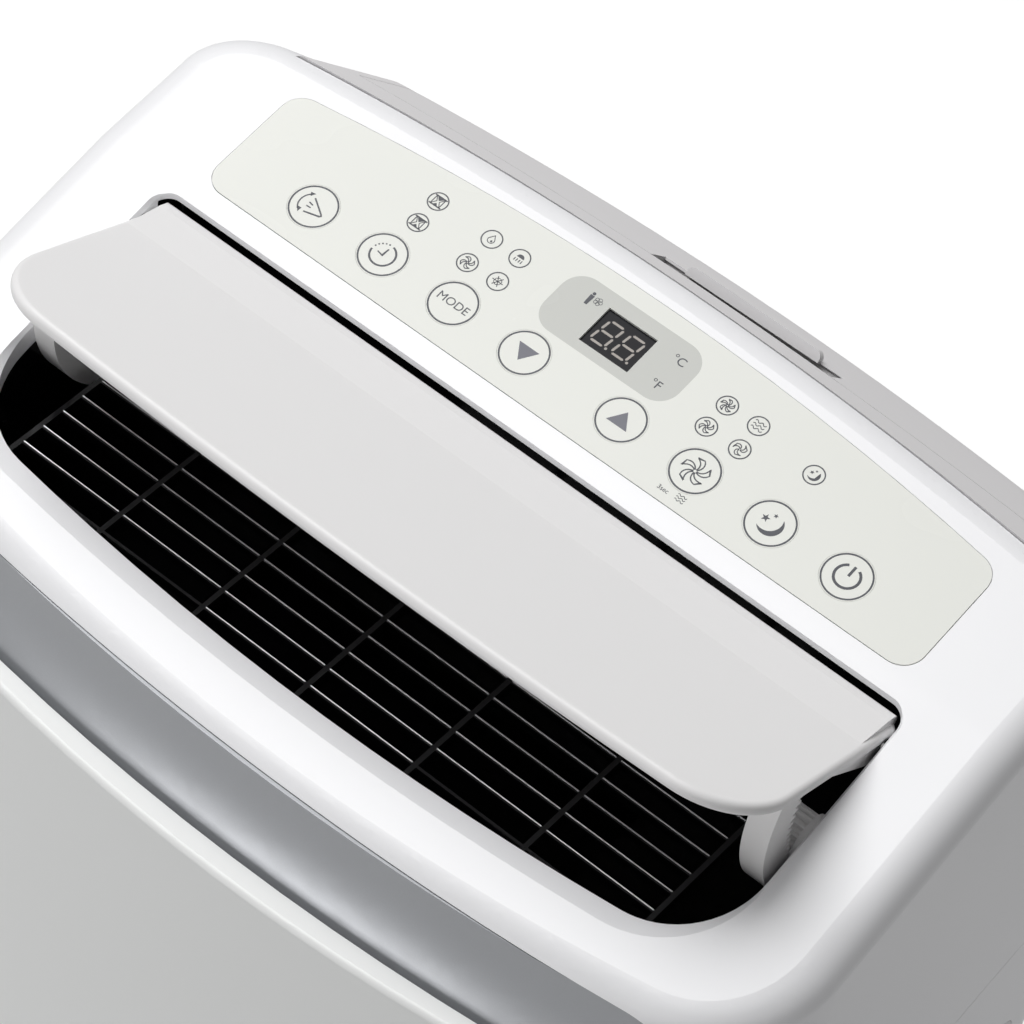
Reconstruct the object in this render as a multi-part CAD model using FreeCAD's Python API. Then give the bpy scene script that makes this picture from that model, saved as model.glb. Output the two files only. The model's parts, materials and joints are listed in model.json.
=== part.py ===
"""Portable air conditioner on casters: every sub-part is written as parts/NODE.step.

Frame: +X to the right seen from the front, +Y to the back, +Z up, origin on the floor
below the middle of the body.  Lengths are millimetres, angles are degrees.
"""
import FreeCAD, Part
import math
import os

V = FreeCAD.Vector

# ---------------------------------------------------------------- driving dimensions
BODY_WIDTH = 460.0            # across the side walls
BODY_DEPTH = 386.0            # front panel bulge to rear cover bulge
DECK_HEIGHT = 734.0           # control deck height at the key line
CASTER_HEIGHT = 58.0          # floor to the underside of the base pan
PARTITION_HEIGHT = 330.0      # underside of the plate between the two air circuits
PAN_HEIGHT = 34.0             # height of the base pan rim

WALL = 3.0                    # moulded wall thickness
SEAM = 0.5                    # visible gap between two mouldings
FIT = 0.3                     # clearance between pieces that only lie close
RUNNING = 0.05                # radial clearance of a pin or shaft in its hole

DECK_SLOPE = 11.0             # control deck, falling to the front
LIP_SLOPE = 17.2              # plane around the air outlet, falling to the front
KEY_LINE_FROM_REAR = 161.5    # rear bulge to the line through the key centres
CREASE_AHEAD_OF_KEYS = 23.5   # key line to the crease between the two planes
CREASE_RADIUS = 60.0
TOP_EDGE_RADIUS = 14.0        # rounding between the top and the walls

HOOD_SETBACK = 34.0           # front bulge to the front wall of the top cover
HOOD_FRONT_BOW = 1080.0       # plan radii of the bowed edges and their corners
HOOD_FRONT_CORNER = 55.0
HOOD_REAR_BOW = 1490.0
HOOD_REAR_CORNER = 43.0
HOOD_REAR_SETBACK = 25.0      # rear bulge to the white rear wall below the knee
HOOD_KNEE_DROP = 62.0         # key line height to the height where the 45 degree rear slope ends
SIDE_SEAM_DROP = 216.0        # key line height to the seam of top cover and side panel
PANEL_BOW = 860.0
PANEL_CORNER = 45.0
PANEL_TOP_DROP = 96.3         # key line height to the top edge of the front panel
PANEL_TOP_LEAN = 12.0         # the top edge lies this far behind the bulge
PANEL_FOOT_LEAN = 7.0
PANEL_SHELF = 12.0            # width of the ledge between panel edge and trim band
PANEL_SIDE_REACH = 104.0      # front bulge to the vertical seam on the side walls
BAND_TOP_DROP = 57.5
BAND_HOLLOW = 3.5             # depth of the cove in the band
BAND_THICKNESS = 2.5
BAND_TOP_LEAN = 1.5           # top cover's front wall to the band's top edge
BAND_FLARE = 1.5              # the foot's extra reach to the front
BAND_END = 8.0                # side wall to the end of the band
BAND_CORNER = 46.0            # rounding of the band's upper ends, seen from the front
PANEL_EDGE = 2.6

OPENING_SIDE = 42.6           # side wall to the edge of the air outlet
OPENING_BACK_AHEAD = 29.0     # key line to the back edge of the outlet
OPENING_FRONT_SETBACK = 67.5  # front bulge to the front edge of the outlet
OPENING_BOW = 1360.0
OPENING_FRONT_CORNER = 40.0
OPENING_BACK_CORNER = 8.0
OPENING_RIM = 5.0             # thickness of the wall round the outlet
OPENING_RIM_DEPTH = 12.0
OPENING_BEVEL = 9.0           # width of the sloping front edge of the outlet
BEVEL_DEPTH = 4.0
OPENING_EDGE = 1.2            # width of the slope at the sides of the outlet

OVERLAY_SIDE = 52.4           # side wall to the edge of the control overlay
OVERLAY_FRONT = 19.0          # key line to the overlay's straight front edge
OVERLAY_BACK = 52.2           # key line to the overlay's bowed back edge
OVERLAY_BOW = 1134.0
OVERLAY_CORNER = 10.0
OVERLAY_THICKNESS = 1.2
OVERLAY_PROUD = 0.2
KEY_RADIUS = 10.8
KEY_GAP = 0.12
KEY_STEM_RADIUS = 3.0
KEY_TRAVEL = 0.4
KEY_PLACES = {"key_swing": -134.4, "key_timer": -97.7, "key_mode": -61.0, "key_down": -24.4,
              "key_up": 24.4, "key_fan": 61.0, "key_sleep": 97.7, "key_power": 134.4}
DISPLAY_WIDTH = 24.4
DISPLAY_LENGTH = 19.2
DISPLAY_BACK = 28.0           # key line to the middle of the display
DISPLAY_THICKNESS = 7.0
BOARD_DEPTH = 12.0            # deck surface to the top of the control board
BOARD_THICKNESS = 1.6
BOARD_WIDTH = 310.0
SWITCH_HEIGHT = 4.3           # board to the top of a switch
BOARD_LENGTH = 56.0
BOARD_AHEAD = 15.7            # key line to the board's front edge
SWITCH_SIDE = 6.0
SWITCH_BODY = 3.2             # board to the top of a switch's square body
SWITCH_RADIUS = 1.7
CONNECTOR = (60.0, 84.0, 24.0, 32.0)
CONNECTOR_HEIGHT = 9.0
LEG_INSET = 3.0               # display side to its row of legs
LEG_ROW = 8.0

HINGE_AHEAD_OF_EDGE = 13.8    # outlet back edge to the flap hinge axis
HINGE_BELOW_LIP = 8.0         # lip plane to the flap hinge axis
FLAP_OPEN = 38.4              # flap angle above its closed position as modelled
FLAP_LENGTH = 108.5           # hinge axis to the front edge
FLAP_TAIL = 9.5
FLAP_THICKNESS = 6.0
FLAP_SIDE_GAP = 1.3
FLAP_BOW = 2860.0
FLAP_CORNER = 34.0
FLAP_TAIL_CORNER = 4.0
FLAP_RIDGE = 3.4              # rise of the flap's tail over its face
FLAP_RIDGE_RUN = 26.0         # length of the rise
FLAP_EDGE = 2.6
ARM_WIDTH = 11.0
ARM_INSET = 3.0               # flap side edge to the outside of an arm
ARM_RADIUS = 66.0
ARM_START = 161.0             # polar angles about the hinge, 180 points to the front
ARM_END = 240.0
GUIDE_ARM_THICKNESS = 9.0
PIN_RADIUS = 2.5
PIN_INSET = 12.0              # flap side to the inner end of a pin
EAR_OUTSIDE = 1.0             # flap side to the outside of an ear
EAR_THICKNESS = 5.0
EAR_PROFILE = ((5, 3), (5, -3), (0, -6), (-6, -6), (-40, 3))
PIN_LENGTH = 16.0
BEARING_RADIUS = 5.5          # bearing boss of the flap's pins

GEAR_MODULE = 1.25
SECTOR_TEETH = 82             # of the full ring that the sector is cut from
PINION_TEETH = 14
PINION_ANGLE = 211.0          # polar angle of the pinion about the hinge
GEAR_BACKLASH = 0.16
GEAR_ADDENDUM = 0.8
GEAR_DEDENDUM = 1.15
DRIVE_SHAFT_RADIUS = 3.0
MOTOR_RADIUS = 12.0
MOTOR_EAR = 18.0              # shaft to the end of a fixing ear
DRIVE_COVER_RADIUS = 11.0
MOTOR_LENGTH = 16.0
MOTOR_EAR_WIDTH = 8.0
MOTOR_EAR_THICKNESS = 2.0
SHAFT_SEAT = 6.0              # duct wall to the end of the drive shaft
SHAFT_END_ROOM = 0.5

GRILLE_RIBS = 7
GRILLE_RIB_PITCH = 53.5
GRILLE_WIRE_PITCH = 11.1
GRILLE_WIRE = 1.3
GRILLE_RIB = 2.2
GRILLE_DEPTH = 7.0
GRILLE_BELOW_DECK = 50.6      # key line height to the top of the grille
DUCT_WALL = 2.5
DUCT_DEPTH = 142.0            # key line height to the floor of the outlet duct
DUCT_BACK_ROOM = 6.5          # how far the duct reaches under the outlet's back edge
GRILLE_FIRST_WIRE = 7.7       # outlet front edge to the first wire
NECK_HALF = 100.0             # air inlet in the duct floor
NECK_FRONT = -100.0
NECK_BACK = -14.0

REAR_SIDE_INSET = 25.0        # side wall to the side of the grey rear cover
REAR_BOW = 1600.0
REAR_CORNER = 38.0
REAR_SEAM_BACK = 65.5         # key line to the seam of top cover and rear cover
REAR_SEAM_DROP = -9.2         # height of the seam over the key line, downwards
REAR_SLOPE = 42.1
REAR_KNEE_RADIUS = 105.0
REAR_SHOULDER = 40.0          # rounding between the rear slope and its ends
FRAME_SIDE = 24.0             # rear cover side to the filter frame
FRAME_DOWN_SLOPE = 27.0       # seam to the filter frame along the slope
FRAME_BOTTOM = 40.0           # partition to the lower edge of the filter frame
FRAME_CORNER = 8.0
SLOT_LEFT = -26.3             # finger slot in front of the filter frame's tab
SLOT_RIGHT = 65.5
SLOT_WIDTH = 14.0
TAB_INSET = 12.0              # slot end to the tab's end
TAB_PROUD = 3.4               # tab's height over the slope
TAB_ROOT = 1.2                # thickness of the frame in front of and behind the tab
FRAME_BORDER = 14.0           # frame edge to the first row of slots
FRAME_TOP_BORDER = 44.0       # knee to the last row of slots
FRAME_END = 16.0              # frame side to the slots
FRAME_BAYS = 3
MULLION = 4.0                 # bar between two bays
REAR_CUT = 30.0               # depth of the cutters through the rear wall
SLAT_PITCH = 9.0
SLAT_OPENING = 4.6
MESH_THICKNESS = 2.0
MESH_BORDER = 6.0             # frame edge to the mesh
MESH_TOP_BORDER = 34.0        # knee to the mesh
MESH_POST = 4.0               # side of the posts between mesh and frame

COLLAR_X = 108.0
COLLAR_Z = 215.0
COLLAR_RADIUS = 72.0          # bore of the hose collar
COLLAR_LENGTH = 42.0
LOWER_FRAME_WIDTH = 196.0
LOWER_FRAME_HEIGHT = 196.0
LOWER_FRAME_X = -88.0
LOWER_FRAME_BORDER = 12.0
DRAIN_X = 150.0
DRAIN_RADIUS = 7.0
DRAIN_Z = 112.0
GLAND_X = -150.0
GLAND_Z = 108.0
GLAND_RADIUS = 9.0
LOWER_Z0 = 126.0              # lower edge of the lower intake frame

HANDLE_WIDTH = 104.0
HANDLE_HEIGHT = 46.0
HANDLE_DEPTH = 23.5
HANDLE_Y = 54.0
HANDLE_DROP = 280.0           # key line height to the upper edge of the grip
HANDLE_CORNER = 14.0

BLOWER_RADIUS = 88.0
BLOWER_WIDTH = 70.0
BLOWER_DROP = 262.0           # key line height to the blower axis
BLADES = 24
BLADE_CHORD = 12.0
BLADE_THICKNESS = 1.6
BLADE_LEAN = 35.0
BLADE_TIP = 1.0               # wheel edge to the blades' outer edge
WHEEL_PLATE = 2.0             # back plate of a fan wheel
WHEEL_RIM = 3.0
HUB_WALL = 8.0
HUB_LENGTH = 24.0
SHAFT_REACH = 26.0            # shaft past the back plate, on both sides
BLOWER_MOTOR_RADIUS = 44.0
BLOWER_MOTOR_LENGTH = 46.0
BLOWER_FLANGE_RADIUS = 54.0
FAN_MOTOR_RADIUS = 36.0
FAN_MOTOR_LENGTH = 40.0
FAN_FOOT_WIDTH = 40.0
FAN_FOOT_LENGTH = 20.0
FAN_FOOT_TOP = 30.0           # motor axis to the top of its foot
MOTOR_SEAT = 30.0             # depth of the shaft's seat in its motor
INLET_SHARE = 0.75            # scroll inlet radius as a share of the wheel's
FAN_RADIUS = 70.0
FAN_WIDTH = 56.0
SHAFT_RADIUS = 4.0
COIL_THICKNESS = 38.0
EVAPORATOR_SETBACK = 84.0     # rear bulge to the coil's front face
EVAPORATOR_SIDE = 38.0        # rear cover side to the coil's end
EVAPORATOR_DROP = 130.0       # key line height to the coil's top
CONDENSER_SETBACK = 80.0
BEND_ROW = 14.0               # coil foot to the first row of return bends
BEND_SPACING = 20.0           # between the two tubes that a return bend joins
COIL_END = 7.0                # coil end to its end plate
TUBE_RADIUS = 4.0
COMPRESSOR_RADIUS = 60.0
COMPRESSOR_HEIGHT = 205.0
COMPRESSOR_DOME = 22.0
COMPRESSOR_FOOT = 140.0
FOOT_CORNER = 20.0
BOTTLE_RADIUS = 20.0          # suction accumulator beside the compressor
BOTTLE_OFFSET = 82.0
BOTTLE_START = 60.0
BOTTLE_END = 170.0
BOTTLE_NECK_RADIUS = 6.0
GROMMET_RADIUS = 9.0
GROMMET_HOLE = 6.5
BOX_WIDTH = 60.0              # electrical box
BOX_LENGTH = 100.0
BOX_HEIGHT = 130.0
BOX_SIDE_GAP = 14.0
BOX_SETBACK = 45.0            # front bulge to the electrical box
BOX_CORNER = 4.0

WHEEL_RADIUS = 24.0
WHEEL_WIDTH = 18.0
WHEEL_TRAIL = 14.0
CASTER_FRONT_Y = -118.0
CASTER_REAR_Y = 120.0
CASTER_SIDE = 50.0            # side wall to the swivel axis
AXLE_RADIUS = 3.0
WHEEL_ROUND = 3.0             # rounding of the tread
WHEEL_HUB_WALL = 4.0
WHEEL_DISH = 3.0              # depth of the dished sides
DISH_SHARE = 0.72             # radius of the dish as a share of the wheel's
CROWN_GAP = 1.0               # base pan to the fork's crown
CROWN_THICKNESS = 4.0
CROWN_FRONT = 14.0            # swivel axis to the crown's front edge
CHEEK_GAP = 1.5               # wheel to a cheek of the fork
CHEEK_THICKNESS = 3.5
CHEEK_FRONT = 8.0             # axle to the cheek's edges
CHEEK_BACK = 10.0
CHEEK_FOOT = 7.0              # axle to the cheek's lower edge
SOCKET_WALL = 5.0
SOCKET_FLOOR = 3.0
STEM_RADIUS = 5.0
STEM_LENGTH = 22.0
PAN_INSET = 3.0               # body outline to the rim of the base pan

PARTITION_GAP = 3.0           # partition edge to the casings
PIPE_X = (-196.0, -178.0)
PIPE_Y = 60.0
PIPE_RUN = 60.0               # length of the pipes' level run below the partition
BEND_RADIUS = 12.0
BLOWER_Y = 8.0                # back plate of the blower wheel
SCROLL_GAP = 7.0              # wheel to the scroll's end walls
SCROLL_ROOM = 16.0            # wheel to the scroll's drum wall
FAN_X = 78.0
FAN_Y = 54.0
COMPRESSOR_PLACE = (-95.0, -85.0)
GROMMET_HEIGHT = 9.0
GROMMET_PLACES = ((-54.0, -54.0), (54.0, -54.0), (-54.0, 54.0), (54.0, 54.0))

# ---------------------------------------------------------------- derived places
HALF = BODY_WIDTH / 2
FRONT = -BODY_DEPTH / 2
REAR = BODY_DEPTH / 2
KEY_Y = REAR - KEY_LINE_FROM_REAR
CREASE_Y = KEY_Y - CREASE_AHEAD_OF_KEYS
DECK_TAN = math.tan(math.radians(DECK_SLOPE))
LIP_TAN = math.tan(math.radians(LIP_SLOPE))
CREASE_Z = DECK_HEIGHT - DECK_TAN * CREASE_AHEAD_OF_KEYS
HOOD_FRONT = FRONT + HOOD_SETBACK
HOOD_REAR = REAR - HOOD_REAR_SETBACK
KNEE_Z = DECK_HEIGHT - HOOD_KNEE_DROP
PAN_TOP = CASTER_HEIGHT + PAN_HEIGHT
PANEL_TOP = DECK_HEIGHT - PANEL_TOP_DROP
BAND_TOP = DECK_HEIGHT - BAND_TOP_DROP
PANEL_SIDE_SEAM = FRONT + PANEL_SIDE_REACH
OPEN_HALF = HALF - OPENING_SIDE
OPEN_BACK = KEY_Y - OPENING_BACK_AHEAD
OPEN_FRONT = FRONT + OPENING_FRONT_SETBACK
REAR_HALF = HALF - REAR_SIDE_INSET
REAR_SEAM_Y = KEY_Y + REAR_SEAM_BACK
REAR_SEAM_Z = DECK_HEIGHT - REAR_SEAM_DROP
REAR_KNEE_Z = REAR_SEAM_Z - math.tan(math.radians(REAR_SLOPE)) * (REAR - REAR_SEAM_Y)
PARTITION_TOP = PARTITION_HEIGHT + WALL
FLAP_HALF = OPEN_HALF - FLAP_SIDE_GAP
ARM_OUTER_X = FLAP_HALF - ARM_INSET
ARM_INNER_X = ARM_OUTER_X - ARM_WIDTH
PITCH_RADIUS = GEAR_MODULE * SECTOR_TEETH / 2
PINION_PITCH = GEAR_MODULE * PINION_TEETH / 2
CENTRE_DISTANCE = PITCH_RADIUS - PINION_PITCH


def lip_z(y):
    """Height of the plane around the outlet."""
    return CREASE_Z + LIP_TAN * (y - CREASE_Y)


HINGE_Y = OPEN_BACK - HINGE_AHEAD_OF_EDGE
HINGE_Z = lip_z(HINGE_Y) - HINGE_BELOW_LIP / math.cos(math.radians(LIP_SLOPE))
PINION_Y = HINGE_Y + CENTRE_DISTANCE * math.cos(math.radians(PINION_ANGLE))
PINION_Z = HINGE_Z + CENTRE_DISTANCE * math.sin(math.radians(PINION_ANGLE))
DUCT_FLOOR = DECK_HEIGHT - DUCT_DEPTH
GRILLE_TOP = DECK_HEIGHT - GRILLE_BELOW_DECK
BLOWER_Z = DECK_HEIGHT - BLOWER_DROP

DECK = FreeCAD.Placement(V(0, KEY_Y, DECK_HEIGHT), FreeCAD.Rotation(V(1, 0, 0), DECK_SLOPE))
SLOPE = FreeCAD.Placement(V(0, REAR_SEAM_Y, REAR_SEAM_Z),
                          FreeCAD.Rotation(V(1, 0, 0), -REAR_SLOPE))


# ---------------------------------------------------------------- shape helpers
def box(x0, x1, y0, y1, z0, z1):
    """Axis-aligned block between two corners."""
    return Part.makeBox(x1 - x0, y1 - y0, z1 - z0, V(x0, y0, z0))


def rod(radius, start, end):
    """Cylinder between two points."""
    line = V(*end) - V(*start)
    return Part.makeCylinder(radius, line.Length, V(*start), line)


def ring(outer, inner, start, end):
    """Tube between two points."""
    return rod(outer, start, end).cut(rod(inner, start, end))


def fuse(shapes):
    """One shape from a list that overlaps or touches."""
    first, rest = shapes[0], shapes[1:]
    return first.fuse(rest).removeSplitter() if rest else first


def prism_yz(points, half_width):
    """Outline in the YZ plane, extruded both ways along X."""
    corners = [V(-half_width, y, z) for y, z in points]
    return Part.Face(Part.makePolygon(corners + corners[:1])).extrude(V(2 * half_width, 0, 0))


def prism_up(wire, height):
    """Solid above a level outline."""
    return Part.Face(wire).extrude(V(0, 0, height))


def plan_wire(half, front, front_bow, front_corner, rear, rear_bow, rear_corner, z):
    """Level outline with bowed front and rear edges and rounded corners."""
    def corner(edge, bow, radius, side):
        centre_y = edge - side * bow
        corner_x = half - radius
        corner_y = centre_y + side * math.sqrt((bow - radius) ** 2 - corner_x ** 2)
        stretch = bow / (bow - radius)
        tangent = V(corner_x * stretch, centre_y + (corner_y - centre_y) * stretch, z)
        middle = V(tangent.x - corner_x + radius, tangent.y - corner_y, 0)
        middle.multiply(radius / middle.Length)
        return tangent, V(corner_x + middle.x, corner_y + middle.y, z), V(half, corner_y, z)

    def mirror(point):
        return V(-point.x, point.y, point.z)

    front_points = corner(front, front_bow, front_corner, -1)
    rear_points = corner(rear, rear_bow, rear_corner, 1)
    a, b, c = front_points
    f, e, d = rear_points
    return Part.Wire([
        Part.Arc(mirror(a), V(0, front, z), a).toShape(), Part.Arc(a, b, c).toShape(),
        Part.makeLine(c, d), Part.Arc(d, e, f).toShape(),
        Part.Arc(f, V(0, rear, z), mirror(f)).toShape(),
        Part.Arc(mirror(f), mirror(e), mirror(d)).toShape(),
        Part.makeLine(mirror(d), mirror(c)), Part.Arc(mirror(c), mirror(b), mirror(a)).toShape()])


def rounded_slab(x0, x1, y0, y1, z0, z1, radius):
    """Level plate with rounded corners."""
    block = box(x0, x1, y0, y1, z0, z1)
    upright = [e for e in block.Edges if abs(e.tangentAt(e.FirstParameter).z) > 0.99]
    return block.makeFillet(radius, upright)


def face_normal(face):
    """Normal at the middle of a face."""
    u0, u1, v0, v1 = face.ParameterRange
    return face.normalAt((u0 + u1) / 2, (v0 + v1) / 2)


def outline_edges(faces):
    """Edges that belong to only one of the given faces."""
    seen = {}
    for face in faces:
        for edge in face.Edges:
            seen.setdefault(edge.hashCode(), []).append(edge)
    return [edges[0] for edges in seen.values() if len(edges) == 1]


def shared_edges(faces):
    """Edges that belong to two of the given faces."""
    seen = {}
    for face in faces:
        for edge in face.Edges:
            seen.setdefault(edge.hashCode(), []).append(edge)
    return [edges[0] for edges in seen.values() if len(edges) == 2]


def gear_outline(teeth, widen, addendum, dedendum, phase):
    """Involute gear outline about the origin; widen thickens each tooth, phase in degrees."""
    pitch = GEAR_MODULE * teeth / 2
    base = pitch * math.cos(math.radians(20))
    tip = pitch + addendum * GEAR_MODULE
    root = pitch - dedendum * GEAR_MODULE

    def half_angle(radius):
        """Half of a tooth's angle at a radius."""
        at_pitch = (math.pi * GEAR_MODULE / 2 + widen) / (2 * pitch)
        inv_pitch = math.tan(math.radians(20)) - math.radians(20)
        if radius <= base:
            return at_pitch + inv_pitch
        angle = math.acos(base / radius)
        return at_pitch + inv_pitch - (math.tan(angle) - angle)

    steps = 4
    radii = [root + (tip - root) * i / steps for i in range(steps + 1)]
    points = []
    for tooth in range(teeth):
        middle = math.radians(phase) + 2 * math.pi * tooth / teeth
        flank = [(r, middle - half_angle(r)) for r in radii]
        flank += [(r, middle + half_angle(r)) for r in reversed(radii)]
        points += [(r * math.cos(a), r * math.sin(a)) for r, a in flank]
    return points


# ---------------------------------------------------------------- outer surfaces
def hood_solid(inset):
    """Solid bounded by the top cover's outer surface, moved inwards by inset."""
    tall = 600.0
    level = DECK_HEIGHT - 1.25 * tall
    upright = prism_up(plan_wire(
        HALF - inset, HOOD_FRONT + inset, HOOD_FRONT_BOW - inset, HOOD_FRONT_CORNER - inset,
        HOOD_REAR - inset, HOOD_REAR_BOW - inset, HOOD_REAR_CORNER - inset, level), 1.5 * tall)
    knee = KNEE_Z - inset * math.tan(math.radians(22.5))
    slanted = plan_wire(
        HALF - inset, HOOD_FRONT - BODY_DEPTH - tall, HOOD_FRONT_BOW + 2 * tall,
        HOOD_FRONT_CORNER - inset, HOOD_REAR - inset, HOOD_REAR_BOW - inset,
        HOOD_REAR_CORNER - inset, knee)
    slanted.translate(V(0, tall / 2, -tall / 2))
    slope = Part.Face(slanted).extrude(V(0, -tall, tall))
    deck_drop = inset / math.cos(math.radians(DECK_SLOPE))
    lip_drop = inset / math.cos(math.radians(LIP_SLOPE))
    crease_y = CREASE_Y + (lip_drop - deck_drop) / (LIP_TAN - DECK_TAN)
    crease_z = CREASE_Z - deck_drop + DECK_TAN * (crease_y - CREASE_Y)
    reach = BODY_DEPTH
    top = prism_yz([(crease_y + reach, crease_z + DECK_TAN * reach), (crease_y, crease_z),
                    (crease_y - reach, crease_z - LIP_TAN * reach),
                    (crease_y - reach, level), (crease_y + reach, level)], BODY_WIDTH)
    body = upright.common(slope).common(top).removeSplitter()
    planes = [f for f in body.Faces if face_normal(f).z > 0.9]
    body = body.makeFillet(CREASE_RADIUS - inset, shared_edges(planes))
    planes = [f for f in body.Faces if face_normal(f).z > 0.9]
    return body.makeFillet(TOP_EDGE_RADIUS - inset, outline_edges(planes))


def panel_solid(inset):
    """Solid bounded by the front panel's outer surface."""
    rear = 0.0
    levels = [(PAN_TOP - SEAM, PANEL_FOOT_LEAN), ((PAN_TOP + PANEL_TOP) / 2, 0.0),
              (PANEL_TOP - inset, PANEL_TOP_LEAN)]
    wires = [plan_wire(HALF - inset, FRONT + lean + inset, PANEL_BOW, PANEL_CORNER - inset,
                       rear, 4 * PANEL_BOW, PANEL_CORNER - inset, z) for z, lean in levels]
    return Part.makeLoft(wires, True)


def rear_solid(inset):
    """Solid bounded by the grey rear cover's outer surface."""
    slope = math.tan(math.radians(REAR_SLOPE))
    start = -0.25 * REAR_SEAM_Y
    points = [V(0, start, CASTER_HEIGHT), V(0, start, REAR_SEAM_Z + slope * (REAR_SEAM_Y - start)),
              V(0, REAR, REAR_KNEE_Z), V(0, REAR, CASTER_HEIGHT)]
    profile = Part.Face(Part.makePolygon(points + points[:1]))
    centre = V(0, REAR - REAR_BOW, 0)
    sweep = 40.0
    solid = profile.revolve(centre, V(0, 0, 1), sweep / 2)
    solid = solid.fuse(profile.revolve(centre, V(0, 0, 1), -sweep / 2)).removeSplitter()
    knee = [e for e in solid.Edges if abs(e.CenterOfMass.z - REAR_KNEE_Z) < 1e-3
            and abs(e.BoundBox.ZMax - e.BoundBox.ZMin) < 1e-3]
    solid = solid.makeFillet(REAR_KNEE_RADIUS, knee)
    if inset:
        solid = solid.copy()
        solid.translate(V(0, -inset, -inset * (1 / math.cos(math.radians(REAR_SLOPE))
                                               - math.tan(math.radians(REAR_SLOPE)))))
    outline = plan_wire(REAR_HALF - inset, start, 1e5, 5.0, REAR - inset, REAR_BOW - inset,
                        REAR_CORNER - inset, CASTER_HEIGHT)
    reach = 2 * DECK_HEIGHT
    shoulders = box(inset - REAR_HALF, REAR_HALF - inset, -reach, reach, -reach, -inset)
    shoulders = shoulders.makeFillet(REAR_SHOULDER - inset, [
        e for e in shoulders.Edges if e.BoundBox.ZMin > -inset - 0.01
        and e.BoundBox.YLength > reach])
    shoulders.Placement = SLOPE
    return solid.common(prism_up(outline, DECK_HEIGHT)).common(shoulders)


def seam_cutter(offset):
    """Everything below the seam between top cover and side panels, moved up by offset."""
    z = DECK_HEIGHT - SIDE_SEAM_DROP + offset
    reach = BODY_DEPTH
    return prism_yz([(KEY_Y - reach, z - DECK_TAN * reach), (KEY_Y + reach, z + DECK_TAN * reach),
                     (KEY_Y + reach, -reach), (KEY_Y - reach, -reach)], BODY_WIDTH)


def opening_prism(grow):
    """Upright prism of the air outlet's outline, grown outwards."""
    wire = plan_wire(OPEN_HALF + grow, OPEN_FRONT - grow, OPENING_BOW + grow,
                     OPENING_FRONT_CORNER + grow, OPEN_BACK + grow, 1e5,
                     OPENING_BACK_CORNER + grow, DUCT_FLOOR - BODY_DEPTH)
    return prism_up(wire, 3 * BODY_DEPTH)


def rear_bow_prism(offset):
    """Everything behind the bowed seam between top cover and rear cover."""
    reach = BODY_DEPTH
    y = REAR_SEAM_Y + offset
    half = REAR_HALF + SEAM + offset
    sag = HOOD_REAR_BOW - math.sqrt(HOOD_REAR_BOW ** 2 - half ** 2)
    arc = Part.Arc(V(-half, y - sag, 0), V(0, y, 0), V(half, y - sag, 0)).toShape()
    wire = Part.Wire([arc, Part.makeLine(V(half, y - sag, 0), V(half, y + reach, 0)),
                      Part.makeLine(V(half, y + reach, 0), V(-half, y + reach, 0)),
                      Part.makeLine(V(-half, y + reach, 0), V(-half, y - sag, 0))])
    return prism_up(wire, 2 * DECK_HEIGHT)


# ---------------------------------------------------------------- casings
def lip_frame(y):
    """Distance along the lip plane from the crease to a place in the level plan."""
    return (y - CREASE_Y) / math.cos(math.radians(LIP_SLOPE))


def opening_bevel():
    """Cutter for the sloping edge of the outlet, wide at the front and fading at the sides."""
    upper = plan_wire(OPEN_HALF + OPENING_EDGE, lip_frame(OPEN_FRONT) - OPENING_BEVEL,
                      OPENING_BOW, OPENING_FRONT_CORNER + OPENING_BEVEL / 2,
                      lip_frame(OPEN_BACK) - OPENING_EDGE, 1e5, OPENING_BACK_CORNER, 0.0)
    lower = plan_wire(OPEN_HALF - OPENING_EDGE, lip_frame(OPEN_FRONT) + OPENING_EDGE,
                      OPENING_BOW, OPENING_FRONT_CORNER, lip_frame(OPEN_BACK) - 2 * OPENING_EDGE,
                      1e5, OPENING_BACK_CORNER, -BEVEL_DEPTH)
    cutter = Part.makeLoft([lower, upper], True, True)
    cutter = cutter.fuse(prism_up(upper, WALL))
    cutter.Placement = FreeCAD.Placement(V(0, CREASE_Y, CREASE_Z),
                                         FreeCAD.Rotation(V(1, 0, 0), LIP_SLOPE))
    return cutter


def front_window(shrink):
    """Region seen from the front that trim band and front panel share, with rounded top corners."""
    half = HALF - BAND_END - shrink
    block = box(-half, half, FRONT - PANEL_SIDE_REACH, PANEL_SIDE_SEAM, PANEL_TOP - HANDLE_DROP,
                BAND_TOP - shrink)
    tops = [e for e in block.Edges if e.BoundBox.ZMin > BAND_TOP - shrink - 0.1
            and abs(e.tangentAt(e.FirstParameter).y) > 0.99]
    return block.makeFillet(BAND_CORNER - shrink, tops)


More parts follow.
